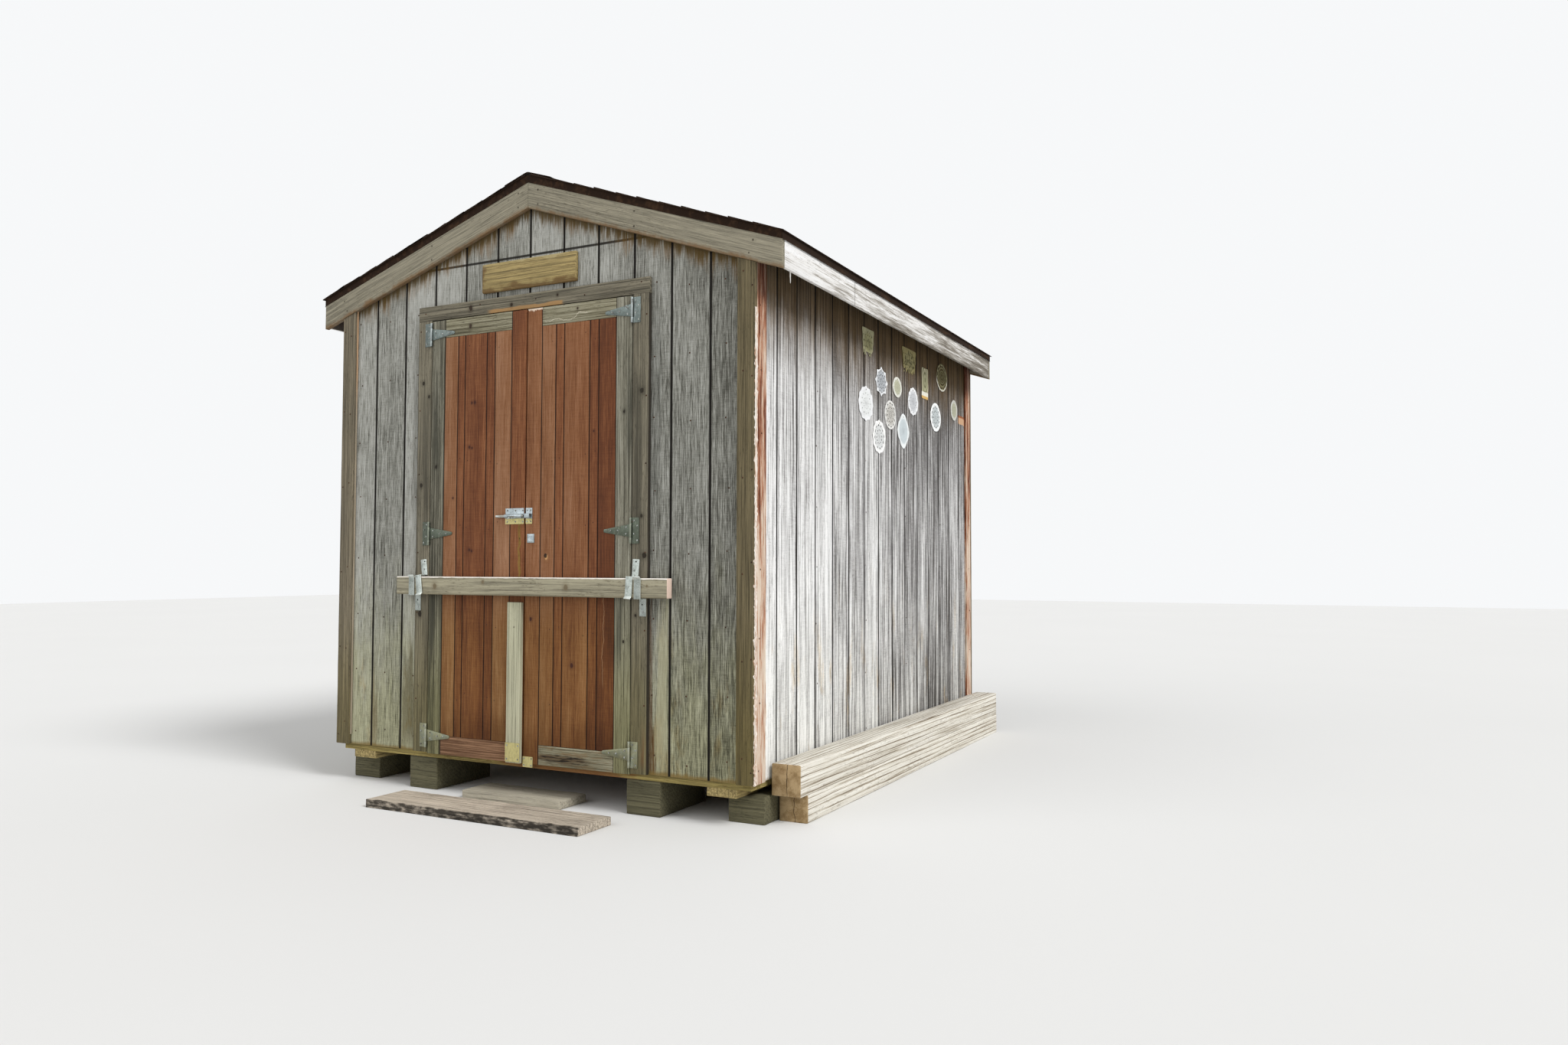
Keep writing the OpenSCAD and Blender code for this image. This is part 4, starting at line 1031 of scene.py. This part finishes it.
        # Tones of the boards and stiles from left to right: 0 dark, 1 worn pale
        for side, boards, stiles in (("left", (0.86, 0.42, 0.40, 0.32, 0.92), (0.5, 0.42)),
                                     ("right", (0.76, 0.44, 0.62, 0.40, 0.12), (0.66, 0.5))):
            body, leaf = side + "_door", side + "_leaf"
            use(leaf + "_panel", back)
            worn(leaf + "_boards", side + "_boards", red, body, edge=0.0016, wobble=0.0003,
                 spacing=0.15, tones=boards)
            worn(leaf + "_rails", side + "_rails", rail, body, wobble=0.0008, grain="X", spacing=0.05)
            stile = worn(leaf + "_stiles", side + "_stiles", grey, body, wobble=0.0004, spacing=0.1,
                         tones=stiles)
            second_finish(stile, red, lambda face: abs(face.center.x) < 0.3)
        worn("left_leaf_batten", "batten", batten, "left_door", wobble=0.0006)
        return {"FINISHED"}


def screws(name, places, radius, finish, body):
    """Flat screw heads with a driver recess, facing -Y, each turned a little."""
    head = primitive("cylinder", name, vertices=14, radius=radius, depth=0.0016, rotation=(math.pi / 2, 0, 0))
    fix(head)
    with editing(head):
        pick(head, lambda face: face.normal.y < -0.9)
        bpy.ops.mesh.inset(thickness=0.28 * radius, depth=0.0004)
        bpy.ops.mesh.inset(thickness=0.34 * radius, depth=-0.0006)
    draw = random.Random(len(places))
    turns = [Matrix.Translation(at) @ Matrix.Rotation(draw.uniform(0, 3), 4, "Y") for at in places]
    settle(copies(head, turns), finish, body, angle=40)


class OUTHOUSE_OT_metalwork(bpy.types.Operator):
    """Hinges, bolt, keeper and plates, with their screws"""
    bl_idname = "outhouse.metalwork"
    bl_label = "Hinges and bolt"

    def execute(self, context):
        look = context.scene.outhouse_metal
        zinc = galvanised_finish(look, "galvanised_steel", look.zinc, look.zinc_dark)
        plated = galvanised_finish(look, "plated_bolt", paint(186, 196, 200), paint(126, 136, 138), 0.3)
        bracket = galvanised_finish(look, "bracket_steel", paint(182, 189, 184), paint(122, 129, 122), 0.4)
        rim = two_tone("bright_bend", (0.35, 0.7, 0.5), (90, 3), paint(222, 228, 224), paint(168, 174, 166))
        for node, name, finish, body in (
                ("hinge_plates", "jamb_hinges", zinc, "root"), ("left_leaf_straps", "left_hinges", zinc, "left_door"),
                ("right_leaf_straps", "right_hinges", zinc, "right_door"),
                ("left_leaf_fittings", "bolt_and_plate", plated, "left_door"),
                ("right_leaf_fittings", "keeper_and_plates", plated, "right_door"),
                ("bar_straps", "bar_brackets", bracket, "bar")):
            made = worn(node, name, finish, body, edge=0.0012 if body == "bar" else 0.0006)
        # Painted highlight on the bends and edges of the bar's brackets
        second_finish(made, rim, lambda face: abs(face.normal.y) < 0.97)
        use("bolt_rod", two_tone("bright_rod", (0.3, 0.9, 0.5), ((20, 160, 160), 4), paint(196, 200, 198),
                                 paint(140, 138, 128), (0.42, 0.62), 0.0001))
        bright = two_tone("screw_steel", (0.35, 0.8, 0.5), (160, 3), paint(168, 172, 168), paint(84, 80, 74),
                          (0.40, 0.62))
        # Screws of the hinges, on the jambs and on the leaves
        low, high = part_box("hinge_plates")
        half = 0.059
        pin = high.x - 0.044
        face = BOARD_FACE_Y - 0.003 - SCREW_SINK
        jamb, leaf = [], {-1: [], 1: []}
        for z in (high.z - half, (low.z + high.z) / 2, low.z + half):
            for side in (-1, 1):
                jamb += [(side * (pin + across), face, z + up)
                         for across, up in ((0.017, 0.045), (0.035, 0.021), (0.017, -0.014), (0.035, -0.045))]
                leaf[side] += [(side * (pin - across), face, z + up)
                               for across, up in ((0.026, 0.015), (0.026, -0.015), (0.072, 0.0), (0.112, 0.0))]
        screws("jamb_screws", jamb, look.screw_radius, bright, "root")
        # Screws of the bolt and the keeper, then of the plates at the foot
        base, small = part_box("left_leaf_fittings")[0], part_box("right_leaf_fittings")[0].z
        bolt_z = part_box("bolt_rod")[1].z - 0.007
        flat = BOARD_FACE_Y - 0.002
        for side, y, z, across, ups in (
                (-1, flat, bolt_z, (base.x + 0.012, base.x + 0.062, -0.012), (0.027, -0.027)),
                (1, flat, bolt_z, (0.0135, 0.036), (0.027, -0.027)),
                (-1, flat - 0.017, base.z, (-0.081, -0.014), (0.012, 0.076)),
                (1, flat, small, (0.011, 0.054), (0.009, 0.040))):
            leaf[side] += [(x, y - SCREW_SINK, z + up) for x in across for up in ups]
        for side, body in ((-1, "left_door"), (1, "right_door")):
            screws(body + "_screws", leaf[side], look.screw_radius, bright, body)
        # The square rose below the keeper
        rose = block("rose", (0.040, 0.003, 0.040))
        with editing(rose):
            pick(rose, lambda part: part.normal.y < -0.9)
            bpy.ops.mesh.inset(thickness=0.006, depth=0.003)
            bpy.ops.mesh.inset(thickness=0.009, depth=-0.0016)
        rose.location = (0.0368, flat - 0.0014, bolt_z - 0.108)
        settle(rose, plated, "right_door", angle=20)
        # Yellow zinc of the plates at the foot and of the bolt's lower flange: a skin with rounded corners
        yellow = two_tone("yellow_zinc", (0.45, 0.5, 0.5), ((90, 90, 60), 6, 0.65), look.passivated,
                          [0.72 * c for c in look.passivated], (0.36, 0.68), 0.0003)
        skin = 0.0006
        for name, body, left, right, y, bottom, top in (
                ("batten_foot_plate", "left_door", -0.0905, -0.003, flat - 0.017, base.z - 0.001, base.z + 0.089),
                ("stile_foot_plate", "right_door", 0.0032, 0.0622, flat, small - 0.0005, small + 0.0495),
                ("bolt_lower_flange", "left_door", base.x - 0.0004, base.x + 0.1144, flat, bolt_z - 0.0384,
                 bolt_z - 0.0115),
                ("keeper_lower_flange", "right_door", 0.0053, 0.0442, flat, bolt_z - 0.0384, bolt_z - 0.0125)):
            corners = (left, y - skin, bottom), (right, y, top)
            item = primitive("cube", name, [b - a for a, b in zip(*corners)], [(a + b) / 2 for a, b in zip(*corners)],
                             size=1)
            fix(item, rotation=False)
            with editing(item, "EDGE"):
                pick(item, lambda edge: abs((edge.verts[0].co - edge.verts[1].co).normalized().y) > 0.9, "edges")
                bpy.ops.mesh.bevel(offset=0.003, segments=3)
            settle(item, yellow, body, angle=30)
        # Holes and screws in the tabs of the bar's brackets: the upper tabs lean
        # The holes are dark discs, painted shade of the openings
        hole = two_tone("dark_hole", (0.9,), (300, 2), paint(16, 15, 14), paint(34, 30, 26))
        spots = {"hole": [], "screw": []}
        tab_y = FRONT_Y - 0.0233
        for side in (-1, 1):
            tilt = math.radians(-7 if side < 0 else 4)
            for kind, dx, dz in (("hole", 0.004, 0.030), ("screw", -0.004, -0.008)):
                spots[kind].append((side * 0.638 + dx * math.cos(tilt) + dz * math.sin(tilt),
                                    FOOT_Z + 0.9235 - dx * math.sin(tilt) + dz * math.cos(tilt)))
            for kind, dx, dz in (("screw", 0.002, -0.022), ("hole", -0.002, 0.012)):
                spots[kind].append((side * 0.681 + dx, FOOT_Z + 0.748 + dz))
        screws("bracket_screws", [(x, tab_y - SCREW_SINK, z) for x, z in spots["screw"]], 0.0046, bright, "bar")
        disc = primitive("cylinder", "bracket_holes", vertices=14, radius=0.0034, depth=0.0010,
                         rotation=(math.pi / 2, 0, 0))
        with editing(disc):
            pick(disc, lambda part: abs(part.normal.z) > 0.9)
            bpy.ops.mesh.inset(thickness=0.0009, depth=-0.0003)
        holes = copies(disc, [Matrix.Translation((x, tab_y - 0.0002, z)) for x, z in spots["hole"]])
        settle(holes, hole, "bar")
        return {"FINISHED"}


class OUTHOUSE_OT_bar(bpy.types.Operator):
    """The drop bar"""
    bl_idname = "outhouse.bar"
    bl_label = "Drop bar"

    def execute(self, context):
        look = context.scene.outhouse_bar
        low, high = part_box("drop_bar")
        f = wood("bar_lumber", "X", *shades(look.wood, 0.45, 0.76, 1.0, 1.24), fleck=paint(84, 74, 56),
                 flecks=0.55, rings=0.3, long=3.0, contrast=0.8)
        # A painted highlight along the top edge, and painted shade along the lower edge
        edge = f.z + f.noise(24) * 0.008
        f.layer(edge.rise(high.z - 0.003, high.z + 0.001, 0.9), paint(236, 230, 222))
        f.layer(f.z.fall(low.z + 0.004, low.z + 0.010, 0.45), paint(98, 88, 64))
        f.layer(f.x.rise(high.x - 0.004, high.x - 0.001, 0.9), paint(222, 196, 180))
        height = (low.z + high.z) / 2
        knots(f, [(-0.62, height + 0.004, 0.006), (-0.53, height - 0.004, 0.013), (-0.22, height + 0.02, 0.008),
                  (0.28, height, 0.012), (0.73, height + 0.01, 0.005)], paint(112, 100, 78))
        worn("drop_bar", "bar", f, "bar", edge=0.003, wobble=0.0006, grain="X", spacing=0.12)
        return {"FINISHED"}


# Lace pieces: distance from the back and below the wall's top, width, height, outline, colours of the rim and of the
# middle, share of openings. The darker colours of the two cloths, the strip and the rings, high under the roof, hold
# painted shade of the eave.
LACE = (
    (1.795, 0.170, 0.160, 0.147, "cloth", (176, 172, 138), (164, 160, 120), 0.50),
    (1.603, 0.353, 0.180, 0.165, "star", (240, 242, 244), (184, 188, 192), 0.42),
    (1.355, 0.348, 0.140, 0.118, "round", (230, 230, 220), (194, 194, 170), 0.28),
    (1.825, 0.504, 0.205, 0.188, "scallop", (236, 237, 238), (230, 232, 231), 0.16),
    (1.466, 0.521, 0.170, 0.164, "round", (230, 229, 225), (206, 203, 196), 0.55),
    (1.636, 0.663, 0.190, 0.188, "scallop", (250, 250, 248), (224, 226, 225), 0.42),
    (1.259, 0.590, 0.190, 0.205, "leaf", (232, 236, 236), (198, 207, 210), 0.08),
    (1.095, 0.395, 0.172, 0.168, "scallop", (242, 243, 244), (206, 208, 211), 0.34),
    (0.685, 0.439, 0.195, 0.180, "round", (248, 250, 250), (200, 207, 208), 0.44),
    (1.161, 0.166, 0.230, 0.146, "cloth", (160, 150, 106), (164, 156, 114), 0.95),
    (0.883, 0.256, 0.112, 0.190, "strip", (196, 190, 160), (170, 168, 136), 0.12),
    (0.560, 0.168, 0.215, 0.180, "rings", (178, 174, 138), (136, 131, 96), 0.30),
    (0.314, 0.348, 0.138, 0.136, "round", (202, 202, 194), (182, 182, 160), 0.22),
)


def crochet_finish(name, rim, middle_tint, wide, high, centre, openings, bands, specks):
    """Crocheted cotton: rounds of stitches about the middle, a paler rim, dark gaps that are partly painted shade of
    the openings and partly dark specks, and grey weathering.
    """
    f = Finish(name, roughness=0.95, specular=0.1)
    f.own_y, f.own_z = f.axes(f.turned(f.place, location=[-c for c in centre]))[1:]
    u, v = f.own_y / (wide / 2), f.own_z / (high / 2)
    f.far = apart(u, v)
    f.rounds = (f.far * (2 * math.pi * bands)).calc("SINE")
    stitches = f.rounds * (v.calc("ARCTAN2", u) * 48.0).calc("SINE")
    f.tint = f.mix(f.far.rise(0.62, 0.80), middle_tint, rim)
    speck = f.noise((specks, specks, 0.6 * specks), 2).rise(0.50, 0.60, 0.9)
    # Painted shade of the small openings between the stitches, together with dark specks
    gap = (stitches.rise(0.15, 0.75) * 0.5 + speck) * f.far.fade(0.78, 0.92, 1.0, 0.25)
    f.layer(gap * openings, [0.22 * c for c in middle_tint])
    f.layer(f.noise(22, 5).rise(0.50, 0.70, 0.22), [0.5 * c for c in rim])
    f.raise_by(stitches, 0.0004)
    return f


class OUTHOUSE_OT_lace(bpy.types.Operator):
    """The crocheted rounds and squares on the right wall"""
    bl_idname = "outhouse.lace"
    bl_label = "Lace"

    def execute(self, context):
        look = context.scene.outhouse_lace
        folds = bpy.data.textures.new("lace_folds", "CLOUDS")
        folds.noise_scale = 0.06
        brass = two_tone("tack_brass", (0.4, 0.8, 0.5), (200, 2), paint(150, 140, 110), paint(90, 80, 60))
        # From lying to hanging on the right wall
        upright = Matrix.Rotation(math.pi / 2, 4, "Z") @ Matrix.Rotation(math.pi / 2, 4, "X")
        made, tacks = [], []
        for number, (back, down, wide, high, shape, rim, core, openings) in enumerate(LACE, 1):
            name = "doily_%02d" % number
            centre = Vector((WALL_X + 0.0015, BACK_Y - back, EAVE_Z - down))
            if shape in ("cloth", "strip"):
                item = self.cloth(name, wide, high, shape, number)
            else:
                item = self.round(name, shape, look.rings, openings, number)
            modify(item, "SUBSURF", levels=1, render_levels=1, subdivision_type="CATMULL_CLARK")
            size = item.dimensions
            chosen(item)
            bpy.ops.transform.resize(value=(wide / size.x, high / size.y, 1))
            item.matrix_world = Matrix.Translation(centre) @ upright @ item.matrix_world
            fix(item)
            modify(item, "DISPLACE", texture=folds, texture_coords="GLOBAL", direction="X", strength=0.0050,
                   mid_level=0.30)
            modify(item, "SOLIDIFY", thickness=look.thickness, offset=1.0)
            f = crochet_finish("lace_%02d" % number, paint(*rim), paint(*core), wide, high, centre, openings,
                               bands=5 if shape == "rings" else 9, specks=85 if shape == "cloth" else 210)
            y, z = f.own_y, f.own_z
            if shape == "strip":
                # Two bull's eyes in a strip, white above ochre at the foot
                eye = apart((z - 0.022).calc("PINGPONG", 0.075) * 0.6, y)
                f.layer((eye * 300.0).calc("SINE").rise(0.0, 0.5, 0.7), paint(92, 92, 62))
                f.layer(z.fall(-0.055, -0.05, 0.75), paint(240, 238, 226))
                f.layer(z.fall(-0.080, -0.075, 0.9), paint(206, 164, 84))
            if shape == "rings":
                f.layer(f.rounds.fall(-0.2, 0.4, 0.85), paint(84, 72, 48))
                # The pale rim shows on the lower half only; the upper half stays darker as painted shade of the eave
                f.layer(f.far.rise(0.88, 0.93) * z.fall(-0.03, 0.0, 0.9), paint(234, 232, 220))
            settle(item, f, angle=50)
            made.append(item)
            tacks.append(Matrix.Translation((WALL_X + 0.0045, centre.y, centre.z + 0.40 * high)))
        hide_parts("doilies")
        tack = primitive("uv_sphere", "lace_tacks", (0.5, 1, 1), segments=10, ring_count=6, radius=0.0032)
        fix(tack)
        settle(copies(tack, tacks), brass)
        return {"FINISHED"}

    def round(self, name, shape, rings, openings, number):
        """Rounds of crochet from the middle outwards, with openings between the stitches."""
        segments = 48
        last = 0.08
        radii = [last + (1 - last) * (k + 1) / rings for k in range(rings)]
        item = primitive("circle", name, vertices=segments, radius=last, fill_type="NGON")
        for radius in radii:
            with editing(item, "EDGE"):
                pick(item, lambda edge: all(abs(v.co.xy.length - last) < 1e-4 for v in edge.verts), "edges")
                bpy.ops.mesh.extrude_edges_move()
                bpy.ops.transform.resize(value=(radius / last, radius / last, 1))
            last = radius

        def opening(face):
            centre = face.calc_center_median()
            ring = sum(1 for radius in radii if radius < centre.xy.length)
            turn = int((math.atan2(centre.y, centre.x) + math.pi) / (2 * math.pi) * segments + 0.001)
            if len(face.verts) > 4 or ring in (0, rings - 1):
                return False
            if shape == "rings":
                return ring % 3 == 1 and turn % 4 != 0
            if (ring + number) % 3 or shape == "leaf":
                return False
            return turn % 4 < (2 if openings > 0.4 else 1)

        # The petals of the rim: how many, and how far they spread and grow, in steps
        petals, steps = {"round": (24, ((0.4, 1.07),)), "rings": (16, ((0.3, 1.05),)),
                         "scallop": (12, ((0.8, 1.06), (0.4, 1.05))), "star": (8, ((0.5, 1.05), (0.2, 1.20))),
                         "leaf": (4, ((0.75, 1.06), (0.4, 1.06), (0.12, 1.06)))}[shape]
        inner = 0.0 if shape == "leaf" else 0.93

        def on_petal(v):
            turn = math.atan2(v.co.y, v.co.x) / (2 * math.pi) * petals
            return v.co.xy.length > inner and abs(turn - round(turn)) <= spread / 2 + 0.01

        with editing(item):
            pick(item, opening)
            bpy.ops.mesh.delete(type="FACE")
            bpy.ops.mesh.select_mode(type="VERT")
            for spread, grow in steps:
                pick(item, on_petal, "verts")
                bpy.ops.transform.resize(value=(grow, grow, 1), center_override=(0, 0, 0))
        return item

    def cloth(self, name, wide, high, shape, number):
        """A small rectangular net with a ragged lower edge."""
        across, up = max(8, int(wide / 0.010)), max(8, int(high / 0.010))
        item = primitive("grid", name, (wide, high, 1), x_subdivisions=across, y_subdivisions=up, size=1)
        fix(item)
        draw = random.Random(number)
        teeth = [draw.choice((0, 1, 1, 2, 3)) for _ in range(across)] if shape == "cloth" else [0] * across

        def opening(face):
            centre = face.calc_center_median()
            i = min(across - 1, int((centre.x / wide + 0.5) * across))
            j = int((centre.y / high + 0.5) * up)
            inside = 0 < i < across - 1 and teeth[i] < j < up - 1
            return j < teeth[i] or inside and shape == "cloth" and i % 3 == 1 and j % 3 == 1

        with editing(item):
            pick(item, opening)
            bpy.ops.mesh.delete(type="FACE")
            if shape == "cloth":
                # The lower end is drawn in
                bpy.ops.mesh.select_mode(type="VERT")
                for share in (0.30, 0.0, -0.30):
                    pick(item, lambda v: v.co.y < share * high, "verts")
                    bpy.ops.transform.resize(value=(0.93, 1, 1), center_override=(0, 0, 0))
            shake(0.0014, number)
            bpy.ops.transform.resize(value=(1, 1, 0))
        return item


class OUTHOUSE_OT_nails(bpy.types.Operator):
    """Nail heads, the splintered corner, the bead on the left corner and a splinter under the fascia"""
    bl_idname = "outhouse.nails"
    bl_label = "Nails and splinters"

    def execute(self, context):
        draw = random.Random(11)

        def about(middle, stray):
            return middle + draw.uniform(-stray, stray)

        rusty = two_tone("rusty_nail", (0.8, 0.3), (220, 3), paint(44, 36, 30), paint(92, 62, 42), (0.4, 0.6))
        nail = primitive("uv_sphere", "siding_nails", (1, 0.4, 1), segments=10, ring_count=6, radius=0.0040)
        fix(nail)
        places = []
        # Rows of nails up the siding, the corner boards and the jambs
        for columns, rows, lowest, step, stray, face_y in (
                ((-1.13, -0.93, -0.725, 0.725, 0.91, 1.10), 8, 0.07, 0.305, 0.02, FRONT_Y),
                ((-1.235, -1.19, 1.19, 1.235), 6, 0.08, 0.42, 0.04, BOARD_FACE_Y),
                ((-0.69, 0.69), 6, 0.30, 0.36, 0.04, BOARD_FACE_Y)):
            for x in columns:
                for row in range(rows):
                    z = about(FOOT_Z + lowest + row * step, stray)
                    across = about(x, 0.012) if face_y == FRONT_Y else x
                    places.append(Matrix.Translation((across, face_y, z)))
        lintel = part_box("door_head_board")
        for x in (-0.66, -0.30, 0.05, 0.34, 0.66):
            places.append(Matrix.Translation((x, BOARD_FACE_Y, about((lintel[0].z + lintel[1].z) / 2, 0.02))))
        # Along the studs of the right wall; the first and the last row are on the corner boards
        for k in range(6):
            y = min(FRONT_Y + SIDING_THICKNESS + 0.019 + k * STUD_SPACING, BACK_Y - 0.034)
            for row in range(8):
                z = about(FOOT_Z + 0.07 + row * 0.285, 0.02)
                at = Matrix.Translation((WALL_X if 0 < k < 5 else CORNER_X, about(y, 0.01), z))
                places.append(at @ Matrix.Rotation(math.pi / 2, 4, "Z"))
        settle(copies(nail, places), rusty)

        # The splintered edge of the corner board on the right
        pale = wood("pale_splinters", "Z", paint(150, 104, 72), paint(196, 164, 138), paint(226, 214, 202),
                    paint(238, 234, 228), long=9.0)
        long, start, step = 2.05, FOOT_Z + 0.002, 0.011
        strip = primitive("cube", "corner_splinters", (0.006, 0.017, long),
                          (CORNER_X + 0.0005, FRONT_Y - 0.0095, start + long / 2), size=1)
        fix(strip, rotation=False)
        with editing(strip):
            cut("Z", [start + k * step for k in range(1, int(long / step))])
            shake(0.0042, 5)
        settle(strip, pale, angle=25)

        # A splinter hangs under the front end of the fascia
        fascia_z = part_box("eave_fascias")[0].z
        shard = primitive("cone", "fascia_splinter", vertices=7, radius1=0.0036, radius2=0.0010, depth=0.052)
        shard.matrix_world = (Matrix.Translation((EAVE_X - 0.016, FRONT_Y + 0.085, fascia_z - 0.022))
                              @ Matrix.Rotation(math.pi + 0.05, 4, "X"))
        fix(shard)
        with editing(shard):
            cut("Z", [fascia_z - 0.046 + k * 0.010 for k in range(1, 5)])
            shake(0.0009, 8)
        white = wood("white_splinter", "Z", *shades(paint(226, 224, 218), 0.75, 0.9, 1.0, 1.05), long=9.0)
        settle(shard, white, angle=30)

        # The bead beside the corner board on the left
        f = wood("bead_paint", "Z", *shades(paint(176, 144, 112), 0.6, 0.8, 1.0, 1.2))
        f.layer(f.z.fall(1.9, 2.2, 0.85), paint(150, 142, 124))
        bead = primitive("cylinder", "corner_bead", vertices=10, radius=0.0045, depth=2.3,
                         location=(0.002 - (CORNER_X - 0.089), FRONT_Y - 0.006, FOOT_Z + 1.2))
        fix(bead)
        with editing(bead):
            cut("Z", [FOOT_Z + 0.05 + k * 0.05 for k in range(1, 46)])
            shake(0.0009, 6)
        settle(bead, f, angle=40)
        return {"FINISHED"}


class OUTHOUSE_OT_stage(bpy.types.Operator):
    """Floor, plain surroundings, soft lights and the camera"""
    bl_idname = "outhouse.stage"
    bl_label = "Stage"

    def execute(self, context):
        look = context.scene.outhouse_stage
        scene = context.scene
        floor = primitive("grid", "floor", x_subdivisions=8, y_subdivisions=8, size=60)
        pale = two_tone("floor_paint", (0.9, 0.0, 0.1), (0.4, 2), look.floor, [0.97 * c for c in look.floor])
        floor.data.materials.append(pale.done())

        world = bpy.data.worlds.new("surroundings")
        scene.world = world
        world.use_nodes = True
        tree = world.node_tree
        sky = tree.nodes["Background"]
        seen = tree.nodes.new("ShaderNodeBackground")
        for back, tint, strength in ((sky, (1, 1, 1, 1), look.sky), (seen, (0.93, 0.94, 0.95, 1), 1.0)):
            back.inputs["Color"].default_value = tint
            back.inputs["Strength"].default_value = strength
        path = tree.nodes.new("ShaderNodeLightPath")
        either = tree.nodes.new("ShaderNodeMath")
        either.operation = "MAXIMUM"
        blend = tree.nodes.new("ShaderNodeMixShader")
        for gives, takes in ((path.outputs["Is Camera Ray"], either.inputs[0]),
                             (path.outputs["Is Glossy Ray"], either.inputs[1]), (either.outputs[0], blend.inputs[0]),
                             (sky.outputs[0], blend.inputs[1]), (seen.outputs[0], blend.inputs[2]),
                             (blend.outputs[0], tree.nodes["World Output"].inputs["Surface"])):
            tree.links.new(gives, takes)

        # Far soft lights, each from a direction
        for name, toward, strength, spread in (("key", (1.0, -0.22, 0.95), look.key, 24),
                                               ("fill", (-0.5, -1.0, 0.7), look.fill, 60)):
            data = bpy.data.lights.new(name, "SUN")
            data.energy = strength
            data.angle = math.radians(spread)
            item = bpy.data.objects.new(name, data)
            item.location = 9 * Vector(toward).normalized()
            item.rotation_euler = Vector(toward).to_track_quat("Z", "Y").to_euler()
            scene.collection.objects.link(item)

        eye = bpy.data.cameras.new("eye")
        eye.lens = 25.04
        eye.sensor_width = 36
        eye.clip_end = 200
        item = bpy.data.objects.new("eye", eye)
        item.location = (3.4627, -5.504, 1.1271)
        item.rotation_euler = [math.radians(turn) for turn in (92.256, -0.115, 26.787)]
        scene.collection.objects.link(item)
        scene.camera = item
        scene.view_settings.view_transform = "Standard"
        return {"FINISHED"}


OPERATORS = (
    OUTHOUSE_OT_siding,
    OUTHOUSE_OT_trim,
    OUTHOUSE_OT_framing,
    OUTHOUSE_OT_base,
    OUTHOUSE_OT_shingles,
    OUTHOUSE_OT_doors,
    OUTHOUSE_OT_metalwork,
    OUTHOUSE_OT_bar,
    OUTHOUSE_OT_lace,
    OUTHOUSE_OT_nails,
    OUTHOUSE_OT_stage,
)


class OUTHOUSE_PT_sidebar(bpy.types.Panel):
    """Lists the pieces of the outhouse and their looks"""
    bl_label = "Timber outhouse"
    bl_space_type = "VIEW_3D"
    bl_region_type = "UI"
    bl_category = "Outhouse"

    def draw(self, context):
        for operator in OPERATORS:
            self.layout.operator(operator.bl_idname)
        for name in LOOKS:
            box = self.layout.box()
            look = getattr(context.scene, name)
            for key in look.__annotations__:
                box.prop(look, key)


def register():
    for item in (*LOOKS.values(), *OPERATORS, OUTHOUSE_PT_sidebar):
        bpy.utils.register_class(item)
    for name, look in LOOKS.items():
        setattr(bpy.types.Scene, name, PointerProperty(type=look))


def unregister():
    for name in LOOKS:
        delattr(bpy.types.Scene, name)
    for item in reversed((*LOOKS.values(), *OPERATORS, OUTHOUSE_PT_sidebar)):
        bpy.utils.unregister_class(item)


def main():
    register()
    for operator in OPERATORS:
        group, name = operator.bl_idname.split(".")
        getattr(getattr(bpy.ops, group), name)()
    rest()


if __name__ == "__main__":
    main()
